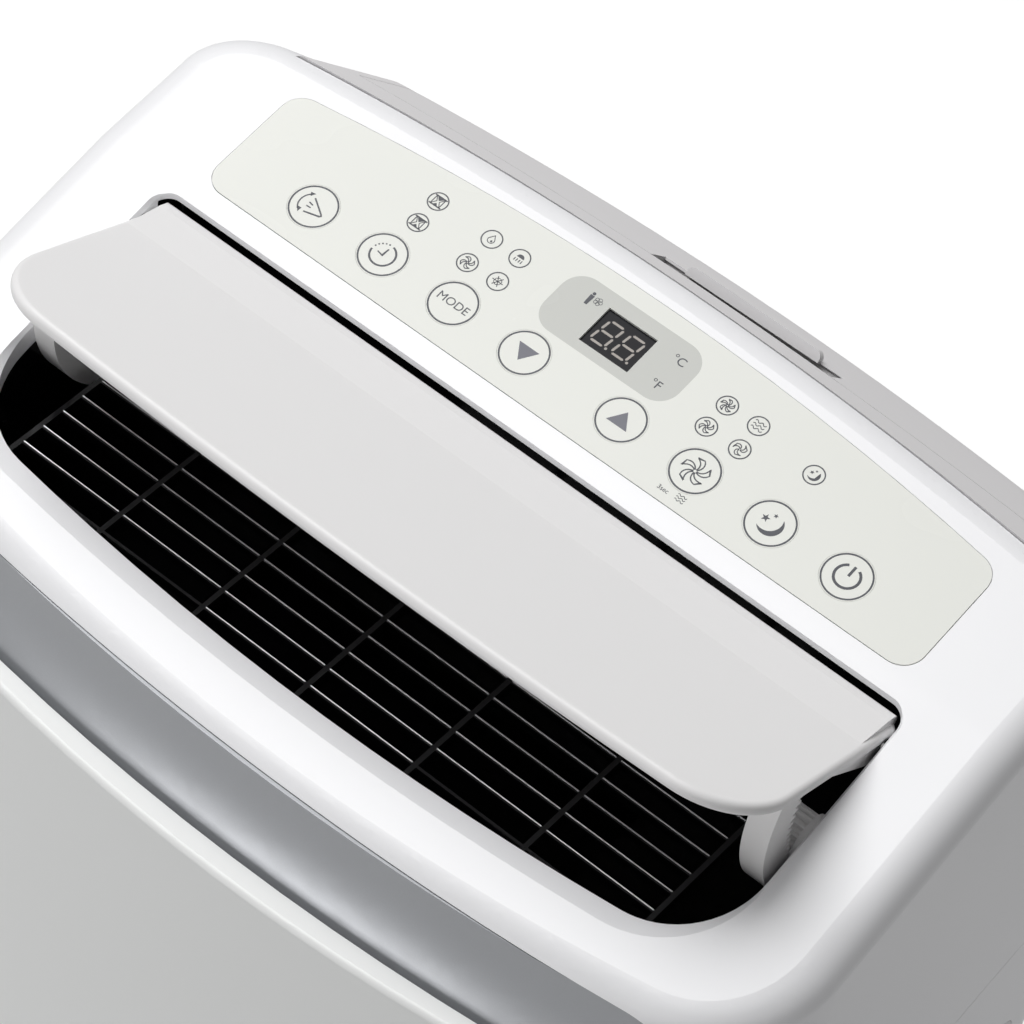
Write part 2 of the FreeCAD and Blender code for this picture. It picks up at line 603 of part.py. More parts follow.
def make_top_cover():
    """White top cover: shell, wall round the air outlet, recess and holes for the controls."""
    outer = hood_solid(0)
    shell = outer.cut(hood_solid(WALL))
    rim = opening_prism(OPENING_RIM).cut(opening_prism(0)).common(outer)
    rim = rim.cut(hood_solid(OPENING_RIM_DEPTH))
    rim = rim.cut(box(-HALF, HALF, OPEN_BACK - OPENING_RIM, REAR, 0, DECK_HEIGHT * 2))
    cover = shell.fuse(rim).cut(opening_prism(0)).cut(seam_cutter(SEAM / 2))
    cover = cover.cut(rear_bow_prism(-SEAM).common(rear_solid(-SEAM))).cut(opening_bevel())
    for side in (-1, 1):
        x0, x1 = sorted((side * (OPEN_HALF - FIT), side * (OPEN_HALF + OPENING_RIM + FIT)))
        reach = BEARING_RADIUS + FIT
        cover = cover.cut(rod(reach, (x0, HINGE_Y, HINGE_Z), (x1, HINGE_Y, HINGE_Z)))
        cover = cover.cut(box(x0, x1, HINGE_Y - reach, HINGE_Y + reach,
                              HINGE_Z - 3 * BEARING_RADIUS, HINGE_Z))
    cover = cover.cut(rod(DRIVE_SHAFT_RADIUS + FIT, (0, PINION_Y, PINION_Z),
                          (OPEN_HALF + 2 * OPENING_RIM, PINION_Y, PINION_Z)))
    cover = cover.cut(front_window(0))
    cover = cover.cut(box(-BODY_WIDTH, BODY_WIDTH, 2 * FRONT, PANEL_SIDE_SEAM, 0,
                          PANEL_TOP + SEAM))
    cover = cover.cut(overlay_blank(FIT, -OVERLAY_THICKNESS + OVERLAY_PROUD - FIT / 2,
                                    2 * OVERLAY_THICKNESS))
    for x in KEY_PLACES.values():
        hole = Part.makeCylinder(KEY_STEM_RADIUS + FIT, 4 * WALL, V(x, 0, -3 * WALL))
        cover = cover.cut(on_deck(hole))
    cover = cover.cut(on_deck(display_block(FIT, 2 * DISPLAY_THICKNESS)))
    return max(cover.Solids, key=lambda s: s.Volume)


def on_deck(shape):
    """Move a shape from deck coordinates (x, back, out) to its place."""
    placed = shape.copy()
    placed.Placement = DECK.multiply(placed.Placement)
    return placed


def overlay_blank(grow, low, high):
    """Plate with the overlay's outline between two heights over the deck."""
    wire = plan_wire(HALF - OVERLAY_SIDE + grow, -OVERLAY_FRONT - grow, 1e5, OVERLAY_CORNER + grow,
                     OVERLAY_BACK + grow, OVERLAY_BOW, OVERLAY_CORNER + grow, low)
    return on_deck(prism_up(wire, high - low))


def display_block(grow, height):
    """Block of the display module below the overlay, in deck coordinates."""
    top = OVERLAY_PROUD - OVERLAY_THICKNESS
    return box(-DISPLAY_WIDTH / 2 - grow, DISPLAY_WIDTH / 2 + grow,
               DISPLAY_BACK - DISPLAY_LENGTH / 2 - grow, DISPLAY_BACK + DISPLAY_LENGTH / 2 + grow,
               top - height, top)


def make_control_overlay():
    """Membrane sheet in the deck's recess, with an opening for each key."""
    sheet = overlay_blank(0, OVERLAY_PROUD - OVERLAY_THICKNESS, OVERLAY_PROUD)
    for x in KEY_PLACES.values():
        hole = Part.makeCylinder(KEY_RADIUS + KEY_GAP, 6 * OVERLAY_THICKNESS,
                                 V(x, 0, -3 * OVERLAY_THICKNESS))
        sheet = sheet.cut(on_deck(hole))
    window = box(-DISPLAY_WIDTH / 2, DISPLAY_WIDTH / 2, DISPLAY_BACK - DISPLAY_LENGTH / 2,
                 DISPLAY_BACK + DISPLAY_LENGTH / 2, -5, 5)
    return sheet.cut(on_deck(window))


def make_key(x):
    """Round key with its stem, which ends a little over the switch on the board."""
    floor = -OVERLAY_THICKNESS + OVERLAY_PROUD
    cap = Part.makeCylinder(KEY_RADIUS, OVERLAY_PROUD - floor - KEY_TRAVEL - FIT / 2,
                            V(x, 0, floor + KEY_TRAVEL + FIT / 2))
    stem = Part.makeCylinder(KEY_STEM_RADIUS, BOARD_DEPTH - SWITCH_HEIGHT - KEY_TRAVEL - FIT / 2,
                             V(x, 0, SWITCH_HEIGHT - BOARD_DEPTH + KEY_TRAVEL + FIT / 2))
    return on_deck(cap.fuse(stem).removeSplitter())


def make_control_board():
    """Circuit board under the deck with one switch for each key and a connector."""
    top = -BOARD_DEPTH
    board = box(-BOARD_WIDTH / 2, BOARD_WIDTH / 2, -BOARD_AHEAD, BOARD_LENGTH - BOARD_AHEAD,
                top - BOARD_THICKNESS, top)
    half = SWITCH_SIDE / 2
    pieces = [board]
    for x in KEY_PLACES.values():
        pieces.append(box(x - half, x + half, -half, half, top, top + SWITCH_BODY))
        pieces.append(Part.makeCylinder(SWITCH_RADIUS, SWITCH_HEIGHT, V(x, 0, top)))
    pieces.append(box(*CONNECTOR, top - CONNECTOR_HEIGHT, top))
    return on_deck(fuse(pieces))


def make_display():
    """Two-digit display module standing on the board."""
    block = display_block(0, DISPLAY_THICKNESS)
    top = OVERLAY_PROUD - OVERLAY_THICKNESS
    legs = box(LEG_INSET - DISPLAY_WIDTH / 2, DISPLAY_WIDTH / 2 - LEG_INSET,
               DISPLAY_BACK - LEG_ROW / 2, DISPLAY_BACK + LEG_ROW / 2, -BOARD_DEPTH,
               top - DISPLAY_THICKNESS)
    return on_deck(fuse([block, legs]))


def band_solid(inset):
    """Solid inside the trim band's hollow outer surface."""
    foot_y = FRONT + PANEL_TOP_LEAN + PANEL_SHELF
    top_y = HOOD_FRONT + BAND_TOP_LEAN
    levels = [(PANEL_TOP - 2 * WALL, foot_y - BAND_FLARE), ((BAND_TOP + PANEL_TOP) / 2,
              (top_y + foot_y) / 2 + BAND_HOLLOW), (BAND_TOP, top_y)]
    wires = [plan_wire(HALF - SEAM - inset, y + inset, HOOD_FRONT_BOW, HOOD_FRONT_CORNER - inset,
                       0.0, 4 * PANEL_BOW, PANEL_CORNER, z) for z, y in levels]
    return Part.makeLoft(wires, True)


def make_trim_band():
    """Hollow-curved trim between the top cover's front edge and the front panel."""
    band = band_solid(0).cut(band_solid(BAND_THICKNESS)).common(front_window(SEAM))
    return max(band.Solids, key=lambda s: s.Volume)


def make_front_panel():
    """Front shell with the ledge that the trim band stands in."""
    outer = panel_solid(0)
    top_face = max(outer.Faces, key=lambda f: f.CenterOfMass.z)
    outer = outer.makeFillet(PANEL_EDGE, top_face.Edges)
    shell = outer.cut(panel_solid(WALL))
    shell = shell.cut(box(-BODY_WIDTH, BODY_WIDTH, PANEL_SIDE_SEAM - SEAM, REAR, 0, DECK_HEIGHT))
    foot = plan_wire(HALF - SEAM + FIT, FRONT + PANEL_TOP_LEAN + PANEL_SHELF - FIT - BAND_FLARE,
                     HOOD_FRONT_BOW, HOOD_FRONT_CORNER, 0.0, 4 * PANEL_BOW, PANEL_CORNER,
                     PANEL_TOP - 3 * WALL)
    shell = shell.cut(prism_up(foot, 6 * WALL).common(front_window(0)))
    return max(shell.Solids, key=lambda s: s.Volume)


def handle_block(side, grow):
    """Block of the grip recess in a side wall."""
    top = DECK_HEIGHT - HANDLE_DROP + grow
    x_out, x_in = side * (HALF + WALL), side * (HALF - HANDLE_DEPTH - grow)
    block = box(min(x_out, x_in), max(x_out, x_in), HANDLE_Y - HANDLE_WIDTH / 2 - grow,
                HANDLE_Y + HANDLE_WIDTH / 2 + grow, top - HANDLE_HEIGHT - 2 * grow, top)
    along = [e for e in block.Edges if abs(e.tangentAt(e.FirstParameter).x) > 0.99]
    return block.makeFillet(HANDLE_CORNER + grow, along)


def make_side_panel(side):
    """White side wall between base pan and top cover, with a cut-out for the grip cup."""
    def upright(inset):
        return prism_up(plan_wire(
            HALF - inset, HOOD_FRONT + inset, HOOD_FRONT_BOW, HOOD_FRONT_CORNER - inset,
            HOOD_REAR - inset, HOOD_REAR_BOW, HOOD_REAR_CORNER - inset, PAN_TOP + SEAM),
            DECK_HEIGHT - PAN_TOP)

    wall = upright(0).cut(upright(WALL)).common(seam_cutter(-SEAM / 2))
    x0, x1 = sorted((side * (REAR_HALF + SEAM), side * BODY_WIDTH))
    wall = wall.common(box(x0, x1, PANEL_SIDE_SEAM + SEAM, REAR, 0, DECK_HEIGHT))
    return wall.cut(handle_block(side, FIT))


def make_handle_cup(side):
    """Recessed grip: a cup with an inner lip that hooks behind the side wall."""
    cup = handle_block(side, 0).cut(handle_block(side, -WALL))
    flange = handle_block(side, 2 * WALL).cut(handle_block(side, 0))
    x0, x1 = sorted((side * (HALF - 2 * WALL - FIT), side * (HALF - WALL - FIT)))
    flange = flange.common(box(x0, x1, -REAR, 2 * REAR, 0, DECK_HEIGHT))
    trim = box(*sorted((side * HALF, side * 2 * HALF)), -REAR, 2 * REAR, 0, DECK_HEIGHT)
    return cup.fuse(flange).cut(trim).removeSplitter()


def slats(x0, x1, y0, y1, z0, z1):
    """Rows of level slots through a wall."""
    count = int((z1 - z0) / SLAT_PITCH)
    return [box(x0, x1, y0, y1, z0 + i * SLAT_PITCH, z0 + i * SLAT_PITCH + SLAT_OPENING)
            for i in range(count)]


def slope_point(distance, out=0.0):
    """Y and Z of a point down the rear slope, out from its surface."""
    a = math.radians(REAR_SLOPE)
    return (REAR_SEAM_Y + distance * math.cos(a) + out * math.sin(a),
            REAR_SEAM_Z - distance * math.sin(a) + out * math.cos(a))


def slope_block(x0, x1, start, end, low, high):
    """Block lying on the rear slope between two distances and two heights over it."""
    block = box(x0, x1, start, end, low, high)
    block.Placement = SLOPE
    return block


def frame_region(grow):
    """Outline of the filter frame: from the slope's seam line down the rear wall."""
    half = REAR_HALF - FRAME_SIDE + grow
    y, z = slope_point(FRAME_DOWN_SLOPE - grow)
    bottom = PARTITION_HEIGHT + FRAME_BOTTOM - grow
    block = box(-half, half, y - 2, 2 * REAR, bottom, z + FRAME_CORNER / 2)
    along = [e for e in block.Edges if abs(e.tangentAt(e.FirstParameter).y) > 0.99]
    block = block.makeFillet(FRAME_CORNER + grow, along)
    return block


def make_rear_cover():
    """Grey upper rear cover: frame round the filter frame, down to the partition."""
    shell = rear_solid(0).cut(rear_solid(WALL))
    shell = shell.cut(box(-BODY_WIDTH, BODY_WIDTH, -REAR, REAR_SEAM_Y - 2 * REAR_CORNER, 0,
                          2 * DECK_HEIGHT))
    shell = shell.common(rear_bow_prism(0))
    shell = shell.common(box(-BODY_WIDTH, BODY_WIDTH, 0, 2 * REAR, PARTITION_HEIGHT + SEAM,
                             2 * DECK_HEIGHT))
    return max(shell.cut(frame_region(SEAM)).Solids, key=lambda s: s.Volume)


def make_filter_frame():
    """Removable grey frame with air slots and a pull tab at the finger slot."""
    shell = rear_solid(0).cut(rear_solid(WALL)).common(frame_region(0))
    z0 = PARTITION_HEIGHT + FRAME_BOTTOM + FRAME_BORDER
    half = REAR_HALF - FRAME_SIDE - FRAME_END
    bay = 2 * half / FRAME_BAYS
    cuts = []
    for i in range(FRAME_BAYS):
        left = i * bay - half
        cuts += slats(left + MULLION / 2, left + bay - MULLION / 2, REAR - REAR_CUT,
                      REAR + REAR_CUT, z0, REAR_KNEE_Z - FRAME_TOP_BORDER)
    shell = shell.cut(cuts)
    foot = FRAME_DOWN_SLOPE + SLOT_WIDTH
    shell = shell.cut(slope_block(SLOT_LEFT, SLOT_RIGHT, 0, foot, -4 * WALL, 4 * WALL))
    shell = shell.cut(slope_block(SLOT_LEFT, SLOT_RIGHT, 0, foot + WALL / 2, -4 * WALL,
                                  -TAB_ROOT))
    tab = box(SLOT_LEFT + TAB_INSET, SLOT_RIGHT - TAB_INSET, foot - WALL, foot + WALL / 2,
              -TAB_ROOT, TAB_PROUD)
    tab = tab.makeFillet(TAB_PROUD, [e for e in tab.Edges if e.BoundBox.ZMin > TAB_PROUD - 0.01
                                     and e.BoundBox.YLength > WALL])
    tab.Placement = SLOPE
    return max(shell.fuse(tab).removeSplitter().Solids, key=lambda s: s.Volume)


def make_filter_mesh():
    """Washable mesh in its rim, fixed behind the filter frame."""
    half = REAR_HALF - REAR_CORNER - WALL
    z0 = PARTITION_HEIGHT + FRAME_BOTTOM + MESH_BORDER
    z1 = REAR_KNEE_Z - MESH_TOP_BORDER
    sag = REAR_BOW - math.sqrt(REAR_BOW ** 2 - half ** 2)
    back = REAR - WALL - sag - 1.0
    sheet = box(-half, half, back - MESH_THICKNESS, back, z0, z1)
    stand = [box(x - 2, x + 2, back, back + sag * (1 - (x / half) ** 2) + 0.9, z0 + 10, z0 + 16)
             for x in (-half / 3, half / 3)]
    return fuse([sheet] + stand)


def lower_frame_box(grow):
    """Upright window of the lower intake in the rear wall."""
    return (LOWER_FRAME_X - LOWER_FRAME_WIDTH / 2 - grow, LOWER_FRAME_X + LOWER_FRAME_WIDTH / 2 + grow,
            REAR - REAR_CUT, REAR + REAR_CUT, LOWER_Z0 - grow, LOWER_Z0 + LOWER_FRAME_HEIGHT + grow)


def make_rear_lower():
    """Grey lower rear cover with openings for hose collar, intake, drain and cord gland."""
    shell = rear_solid(0).cut(rear_solid(WALL))
    shell = shell.common(box(-BODY_WIDTH, BODY_WIDTH, REAR_SEAM_Y, 2 * REAR, PAN_TOP + SEAM,
                             PARTITION_HEIGHT))
    shell = shell.cut(box(*lower_frame_box(FIT)))
    reach = (REAR - 40, REAR + 20)
    shell = shell.cut(rod(COLLAR_RADIUS + WALL + FIT, (COLLAR_X, reach[0], COLLAR_Z),
                          (COLLAR_X, reach[1], COLLAR_Z)))
    shell = shell.cut(rod(DRAIN_RADIUS + WALL + FIT, (DRAIN_X, reach[0], DRAIN_Z),
                          (DRAIN_X, reach[1], DRAIN_Z)))
    shell = shell.cut(rod(GLAND_RADIUS + FIT, (GLAND_X, reach[0], GLAND_Z),
                          (GLAND_X, reach[1], GLAND_Z)))
    return max(shell.Solids, key=lambda s: s.Volume)


def make_lower_frame():
    """Removable lower intake frame with air slots."""
    shell = rear_solid(0).cut(rear_solid(WALL)).common(box(*lower_frame_box(0)))
    x0, x1, y0, y1, z0, z1 = lower_frame_box(-LOWER_FRAME_BORDER)
    half = MULLION / 2
    cuts = slats(x0, LOWER_FRAME_X - half, y0, y1, z0, z1)
    cuts += slats(LOWER_FRAME_X + half, x1, y0, y1, z0, z1)
    return max(shell.cut(cuts).Solids, key=lambda s: s.Volume)


def make_exhaust_collar():
    """Round collar for the exhaust hose, with a flange behind the rear cover."""
    tube = ring(COLLAR_RADIUS + WALL, COLLAR_RADIUS, (COLLAR_X, REAR - COLLAR_LENGTH, COLLAR_Z),
                (COLLAR_X, REAR - 1, COLLAR_Z))
    y = REAR - COLLAR_LENGTH
    flange = ring(COLLAR_RADIUS + 3 * WALL, COLLAR_RADIUS, (COLLAR_X, y, COLLAR_Z),
                  (COLLAR_X, y + WALL, COLLAR_Z))
    return fuse([tube, flange])


def make_drain_spout():
    """Drain spout through the lower rear cover."""
    return fuse([ring(DRAIN_RADIUS + WALL, DRAIN_RADIUS, (DRAIN_X, REAR - 36, DRAIN_Z),
                      (DRAIN_X, REAR - 2, DRAIN_Z)),
                 ring(DRAIN_RADIUS + 2 * WALL, DRAIN_RADIUS, (DRAIN_X, REAR - 36, DRAIN_Z),
                      (DRAIN_X, REAR - 33, DRAIN_Z))])


def make_drain_plug():
    """Rubber plug in the drain spout, with a grip knob."""
    plug = rod(DRAIN_RADIUS - RUNNING, (DRAIN_X, REAR - 20, DRAIN_Z), (DRAIN_X, REAR - 2, DRAIN_Z))
    head = rod(DRAIN_RADIUS - 1, (DRAIN_X, REAR - 2, DRAIN_Z), (DRAIN_X, REAR - 0.1, DRAIN_Z))
    return fuse([plug, head])


def make_cord_gland():
    """Gland bush where the mains lead enters."""
    bush = ring(GLAND_RADIUS, GLAND_RADIUS - 3, (GLAND_X, REAR - 18, GLAND_Z),
                (GLAND_X, REAR - 3, GLAND_Z))
    return fuse([bush, ring(GLAND_RADIUS + 3, GLAND_RADIUS - 3, (GLAND_X, REAR - 21, GLAND_Z),
                            (GLAND_X, REAR - 18, GLAND_Z))])


# ---------------------------------------------------------------- air outlet
def duct_prism(grow):
    """Outline of the outlet duct, which reaches a little under the outlet's back edge."""
    wire = plan_wire(OPEN_HALF + grow, OPEN_FRONT - grow, OPENING_BOW + grow,
                     OPENING_FRONT_CORNER + grow, OPEN_BACK + DUCT_BACK_ROOM + grow, 1e5,
                     OPENING_BACK_CORNER + grow, DUCT_FLOOR)
    return prism_up(wire, DECK_HEIGHT)


def make_discharge_duct():
    """Black duct under the air outlet, with bearings for the flap and an inlet in its floor."""
    outer = duct_prism(DUCT_WALL).common(hood_solid(WALL + FIT))
    front = box(-HALF, HALF, FRONT, OPEN_BACK - OPENING_RIM, 0, DECK_HEIGHT)
    outer = outer.cut(front.cut(hood_solid(OPENING_RIM_DEPTH + FIT)))
    inner = duct_prism(0)
    inner.translate(V(0, 0, DUCT_WALL))
    duct = outer.cut(inner)
    duct = duct.cut(box(-NECK_HALF, NECK_HALF, NECK_FRONT, NECK_BACK, 0, DUCT_FLOOR + 5))
    for side in (-1, 1):
        x0, x1 = side * (FLAP_HALF + FIT), side * (OPEN_HALF + DUCT_WALL)
        duct = duct.fuse(rod(BEARING_RADIUS, (x0, HINGE_Y, HINGE_Z), (x1, HINGE_Y, HINGE_Z)))
        duct = duct.fuse(box(*sorted((side * OPEN_HALF, x1)), HINGE_Y - BEARING_RADIUS,
                             HINGE_Y + BEARING_RADIUS, HINGE_Z - 3 * BEARING_RADIUS, HINGE_Z))
        duct = duct.cut(rod(PIN_RADIUS + RUNNING, (0, HINGE_Y, HINGE_Z),
                            (side * HALF, HINGE_Y, HINGE_Z)))
    shaft = rod(DRIVE_SHAFT_RADIUS + FIT, (0, PINION_Y, PINION_Z), (HALF, PINION_Y, PINION_Z))
    return max(duct.cut(shaft).removeSplitter().Solids, key=lambda s: s.Volume)


def make_discharge_grille():
    """Black guard grille: ribs from front to back and thin wires across."""
    half = GRILLE_RIB_PITCH * (GRILLE_RIBS - 1) / 2
    back = OPEN_BACK + DUCT_BACK_ROOM - FIT
    bars = []
    low, high = GRILLE_TOP - GRILLE_DEPTH, GRILLE_TOP
    for i in range(GRILLE_RIBS):
        x = -half + i * GRILLE_RIB_PITCH
        sag = OPENING_BOW - math.sqrt(OPENING_BOW ** 2 - x ** 2)
        bars.append(box(x - GRILLE_RIB / 2, x + GRILLE_RIB / 2, OPEN_FRONT + sag + FIT, back,
                        low, high))
    count = int((back - OPEN_FRONT - 12) / GRILLE_WIRE_PITCH)
    for i in range(count + 1):
        y = GRILLE_FIRST_WIRE + OPEN_FRONT + i * GRILLE_WIRE_PITCH
        if y < back - 1:
            bars.append(box(-half, half, y - GRILLE_WIRE / 2, y + GRILLE_WIRE / 2, high - 4, high))
    room = duct_prism(-FIT)
    room.translate(V(0, 0, DUCT_WALL))
    return fuse(bars).common(room)


def flap_shape(build):
    """Place a shape built in flap axes (x, to the front, outwards) about the hinge."""
    placed = build.copy()
    turn = FreeCAD.Rotation(V(1, 0, 0), LIP_SLOPE - FLAP_OPEN)
    placed.Placement = FreeCAD.Placement(V(0, HINGE_Y, HINGE_Z), turn).multiply(placed.Placement)
    return placed


def make_flap():
    """Louver flap: crowned plate with rounded front corners, stiffening lip and hinge ears."""
    outer = plan_wire(FLAP_HALF, -FLAP_LENGTH, FLAP_BOW, FLAP_CORNER, FLAP_TAIL, 1e5,
                      FLAP_TAIL_CORNER, HINGE_BELOW_LIP - FLAP_THICKNESS)
    plate = prism_up(outer, FLAP_THICKNESS)
    plate = plate.makeFillet(FLAP_EDGE, [e for e in plate.Edges
                                         if e.BoundBox.ZMin > HINGE_BELOW_LIP - 0.01
                                         or e.BoundBox.ZMax < HINGE_BELOW_LIP - FLAP_THICKNESS + 0.01])
    crest = HINGE_BELOW_LIP + FLAP_RIDGE
    ridge = prism_yz([(FLAP_TAIL - FLAP_RIDGE_RUN, HINGE_BELOW_LIP), (FLAP_EDGE, crest),
                      (FLAP_TAIL, crest), (FLAP_TAIL, HINGE_BELOW_LIP - FLAP_EDGE),
                      (FLAP_TAIL - FLAP_RIDGE_RUN, HINGE_BELOW_LIP - FLAP_EDGE)],
                     FLAP_HALF - FLAP_EDGE)
    ridge = ridge.makeFillet(FLAP_EDGE, [e for e in ridge.Edges if e.BoundBox.ZMin > crest - 0.01
                                         and e.BoundBox.YMin > FLAP_TAIL - 0.01])
    pieces = [plate, ridge]
    for side in (-1, 1):
        x0 = min(side * (FLAP_HALF - EAR_OUTSIDE), side * (FLAP_HALF - EAR_OUTSIDE - EAR_THICKNESS))
        corners = [V(x0, y, z) for y, z in EAR_PROFILE]
        ear = Part.Face(Part.makePolygon(corners + corners[:1]))
        pieces.append(ear.extrude(V(EAR_THICKNESS, 0, 0)))
    flap = fuse(pieces)
    for side in (-1, 1):
        flap = flap.cut(rod(PIN_RADIUS, (side * (FLAP_HALF - PIN_INSET), 0, 0),
                            (side * HALF, 0, 0)))
    return flap_shape(flap)


def arm_profile(inner, outer, start, end):
    """Sector of a ring about the hinge in the YZ plane, as a face at x = 0."""
    def point(radius, angle):
        a = math.radians(angle)
        return V(0, HINGE_Y + radius * math.cos(a), HINGE_Z + radius * math.sin(a))

    middle = (start + end) / 2
    edges = [Part.Arc(point(outer, start), point(outer, middle), point(outer, end)).toShape(),
             Part.makeLine(point(outer, end), point(inner, end)),
             Part.Arc(point(inner, end), point(inner, middle), point(inner, start)).toShape(),
             Part.makeLine(point(inner, start), point(outer, start))]
    return Part.Face(Part.Wire(edges))


def flap_blank():
    """Space of the flap plate, so that arms end at its underside."""
    return flap_shape(box(-HALF, HALF, -2 * FLAP_LENGTH, FLAP_TAIL,
                          HINGE_BELOW_LIP - FLAP_THICKNESS, 2 * FLAP_LENGTH))


def make_sector_arm():
    """Right arm of the flap: curved rack with teeth on its inner side."""
    inner = PITCH_RADIUS - 3 * GEAR_MODULE
    arm = arm_profile(inner, ARM_RADIUS, ARM_START, ARM_END).extrude(V(ARM_WIDTH, 0, 0))
    arm.translate(V(ARM_INNER_X, 0, 0))
    points = gear_outline(SECTOR_TEETH, GEAR_BACKLASH, GEAR_DEDENDUM, GEAR_ADDENDUM,
                          PINION_ANGLE)
    corners = [V(ARM_INNER_X - 1, HINGE_Y + y, HINGE_Z + z) for y, z in points]
    teeth = Part.Face(Part.makePolygon(corners + corners[:1])).extrude(V(ARM_WIDTH + 2, 0, 0))
    arm = arm.cut(teeth).cut(flap_blank())
    return max(arm.Solids, key=lambda s: s.Volume)


def make_guide_arm():
    """Left arm of the flap: smooth curved blade."""
    inner = ARM_RADIUS - GUIDE_ARM_THICKNESS
    arm = arm_profile(inner, ARM_RADIUS, ARM_START, ARM_END).extrude(V(ARM_WIDTH, 0, 0))
    arm.translate(V(-ARM_OUTER_X, 0, 0))
    arm = arm.cut(flap_blank())
    return max(arm.Solids, key=lambda s: s.Volume)


def make_hinge_pins():
    """Two steel pins, held in the flap's ears, that turn in the duct's bearings."""
    return Part.makeCompound([
        rod(PIN_RADIUS, (side * (FLAP_HALF - PIN_INSET), HINGE_Y, HINGE_Z),
            (side * (FLAP_HALF - PIN_INSET + PIN_LENGTH), HINGE_Y, HINGE_Z))
        for side in (-1, 1)])


def make_pinion():
    """Drive pinion on the flap motor's shaft."""
    phase = PINION_ANGLE
    points = gear_outline(PINION_TEETH, -GEAR_BACKLASH, GEAR_ADDENDUM, GEAR_DEDENDUM, phase)
    corners = [V(ARM_INNER_X + 1, PINION_Y + y, PINION_Z + z) for y, z in points]
    gear = Part.Face(Part.makePolygon(corners + corners[:1])).extrude(V(ARM_WIDTH - 1, 0, 0))
    shaft = rod(DRIVE_SHAFT_RADIUS, (ARM_INNER_X + 1, PINION_Y, PINION_Z),
                (OPEN_HALF + OPENING_RIM + SHAFT_SEAT, PINION_Y, PINION_Z))
    return gear.fuse(shaft).removeSplitter()


def make_flap_motor():
    """Flap motor outside the duct, with a blind bore for the shaft."""
    x0 = OPEN_HALF + OPENING_RIM + FIT
    body = rod(MOTOR_RADIUS, (x0, PINION_Y, PINION_Z), (x0 + MOTOR_LENGTH, PINION_Y, PINION_Z))
    ears = box(x0, x0 + MOTOR_EAR_THICKNESS, PINION_Y - MOTOR_EAR, PINION_Y + MOTOR_EAR,
               PINION_Z - MOTOR_EAR_WIDTH / 2, PINION_Z + MOTOR_EAR_WIDTH / 2)
    bore = rod(DRIVE_SHAFT_RADIUS + RUNNING, (x0 - 1, PINION_Y, PINION_Z),
               (x0 + SHAFT_SEAT + SHAFT_END_ROOM, PINION_Y, PINION_Z))
    return body.fuse(ears).cut(bore).removeSplitter()


def make_drive_cover():
    """Round cover between the sector arm and the duct's end wall."""
    outer = rod(DRIVE_COVER_RADIUS, (ARM_OUTER_X + FIT, PINION_Y, PINION_Z),
                (OPEN_HALF - FIT / 3, PINION_Y, PINION_Z))
    bore = rod(DRIVE_SHAFT_RADIUS + FIT, (0, PINION_Y, PINION_Z), (HALF, PINION_Y, PINION_Z))
    return outer.cut(bore)


# ---------------------------------------------------------------- base and casters
def caster_places():
    """Swivel axis of each caster: name, x, y."""
    x = HALF - CASTER_SIDE
    return [("front_left", -x, CASTER_FRONT_Y), ("front_right", x, CASTER_FRONT_Y),
            ("rear_left", -x, CASTER_REAR_Y), ("rear_right", x, CASTER_REAR_Y)]


def make_base_pan():
    """Tray that carries everything, with a socket for each caster stem."""
    def outline(inset, z, height):
        front = prism_up(plan_wire(
            HALF - inset, FRONT + PANEL_FOOT_LEAN + inset, PANEL_BOW, PANEL_CORNER - inset,
            HOOD_REAR - inset, HOOD_REAR_BOW, HOOD_REAR_CORNER - inset, z), height)
        back = prism_up(plan_wire(
            REAR_HALF - inset, 0, 4 * PANEL_BOW, PANEL_CORNER, REAR - inset,
            REAR_BOW, REAR_CORNER - inset, z), height)
        return front.fuse(back)

    pan = outline(PAN_INSET, CASTER_HEIGHT, PAN_HEIGHT - SEAM)
    pan = pan.cut(outline(PAN_INSET + WALL, CASTER_HEIGHT + WALL, PAN_HEIGHT))
    for _, x, y in caster_places():
        pan = pan.fuse(rod(STEM_RADIUS + SOCKET_WALL, (x, y, CASTER_HEIGHT),
                           (x, y, CASTER_HEIGHT + STEM_LENGTH + SOCKET_FLOOR)))
    for _, x, y in caster_places():
        pan = pan.cut(rod(STEM_RADIUS + RUNNING, (x, y, CASTER_HEIGHT - 1),
                          (x, y, CASTER_HEIGHT + STEM_LENGTH + FIT)))
    return pan.removeSplitter()


def make_caster_fork(x, y):
    """Swivel fork with its stem; the axle lies behind the swivel axis."""
    axle_y = y + WHEEL_TRAIL
    half = WHEEL_WIDTH / 2
    top = CASTER_HEIGHT - CROWN_GAP
    outside = half + CHEEK_GAP + CHEEK_THICKNESS
    crown = box(x - outside, x + outside, y - CROWN_FRONT, axle_y + CHEEK_BACK,
                top - CROWN_THICKNESS, top)
    pieces = [crown, rod(STEM_RADIUS, (x, y, top - CROWN_THICKNESS / 2),
                         (x, y, CASTER_HEIGHT + STEM_LENGTH))]
    for side in (-1, 1):
        x0, x1 = sorted((x + side * (half + CHEEK_GAP), x + side * outside))
        pieces.append(box(x0, x1, axle_y - CHEEK_FRONT, axle_y + CHEEK_BACK,
                          WHEEL_RADIUS - CHEEK_FOOT, top))
    pieces.append(rod(AXLE_RADIUS, (x - outside, axle_y, WHEEL_RADIUS),
                      (x + outside, axle_y, WHEEL_RADIUS)))
    return fuse(pieces)


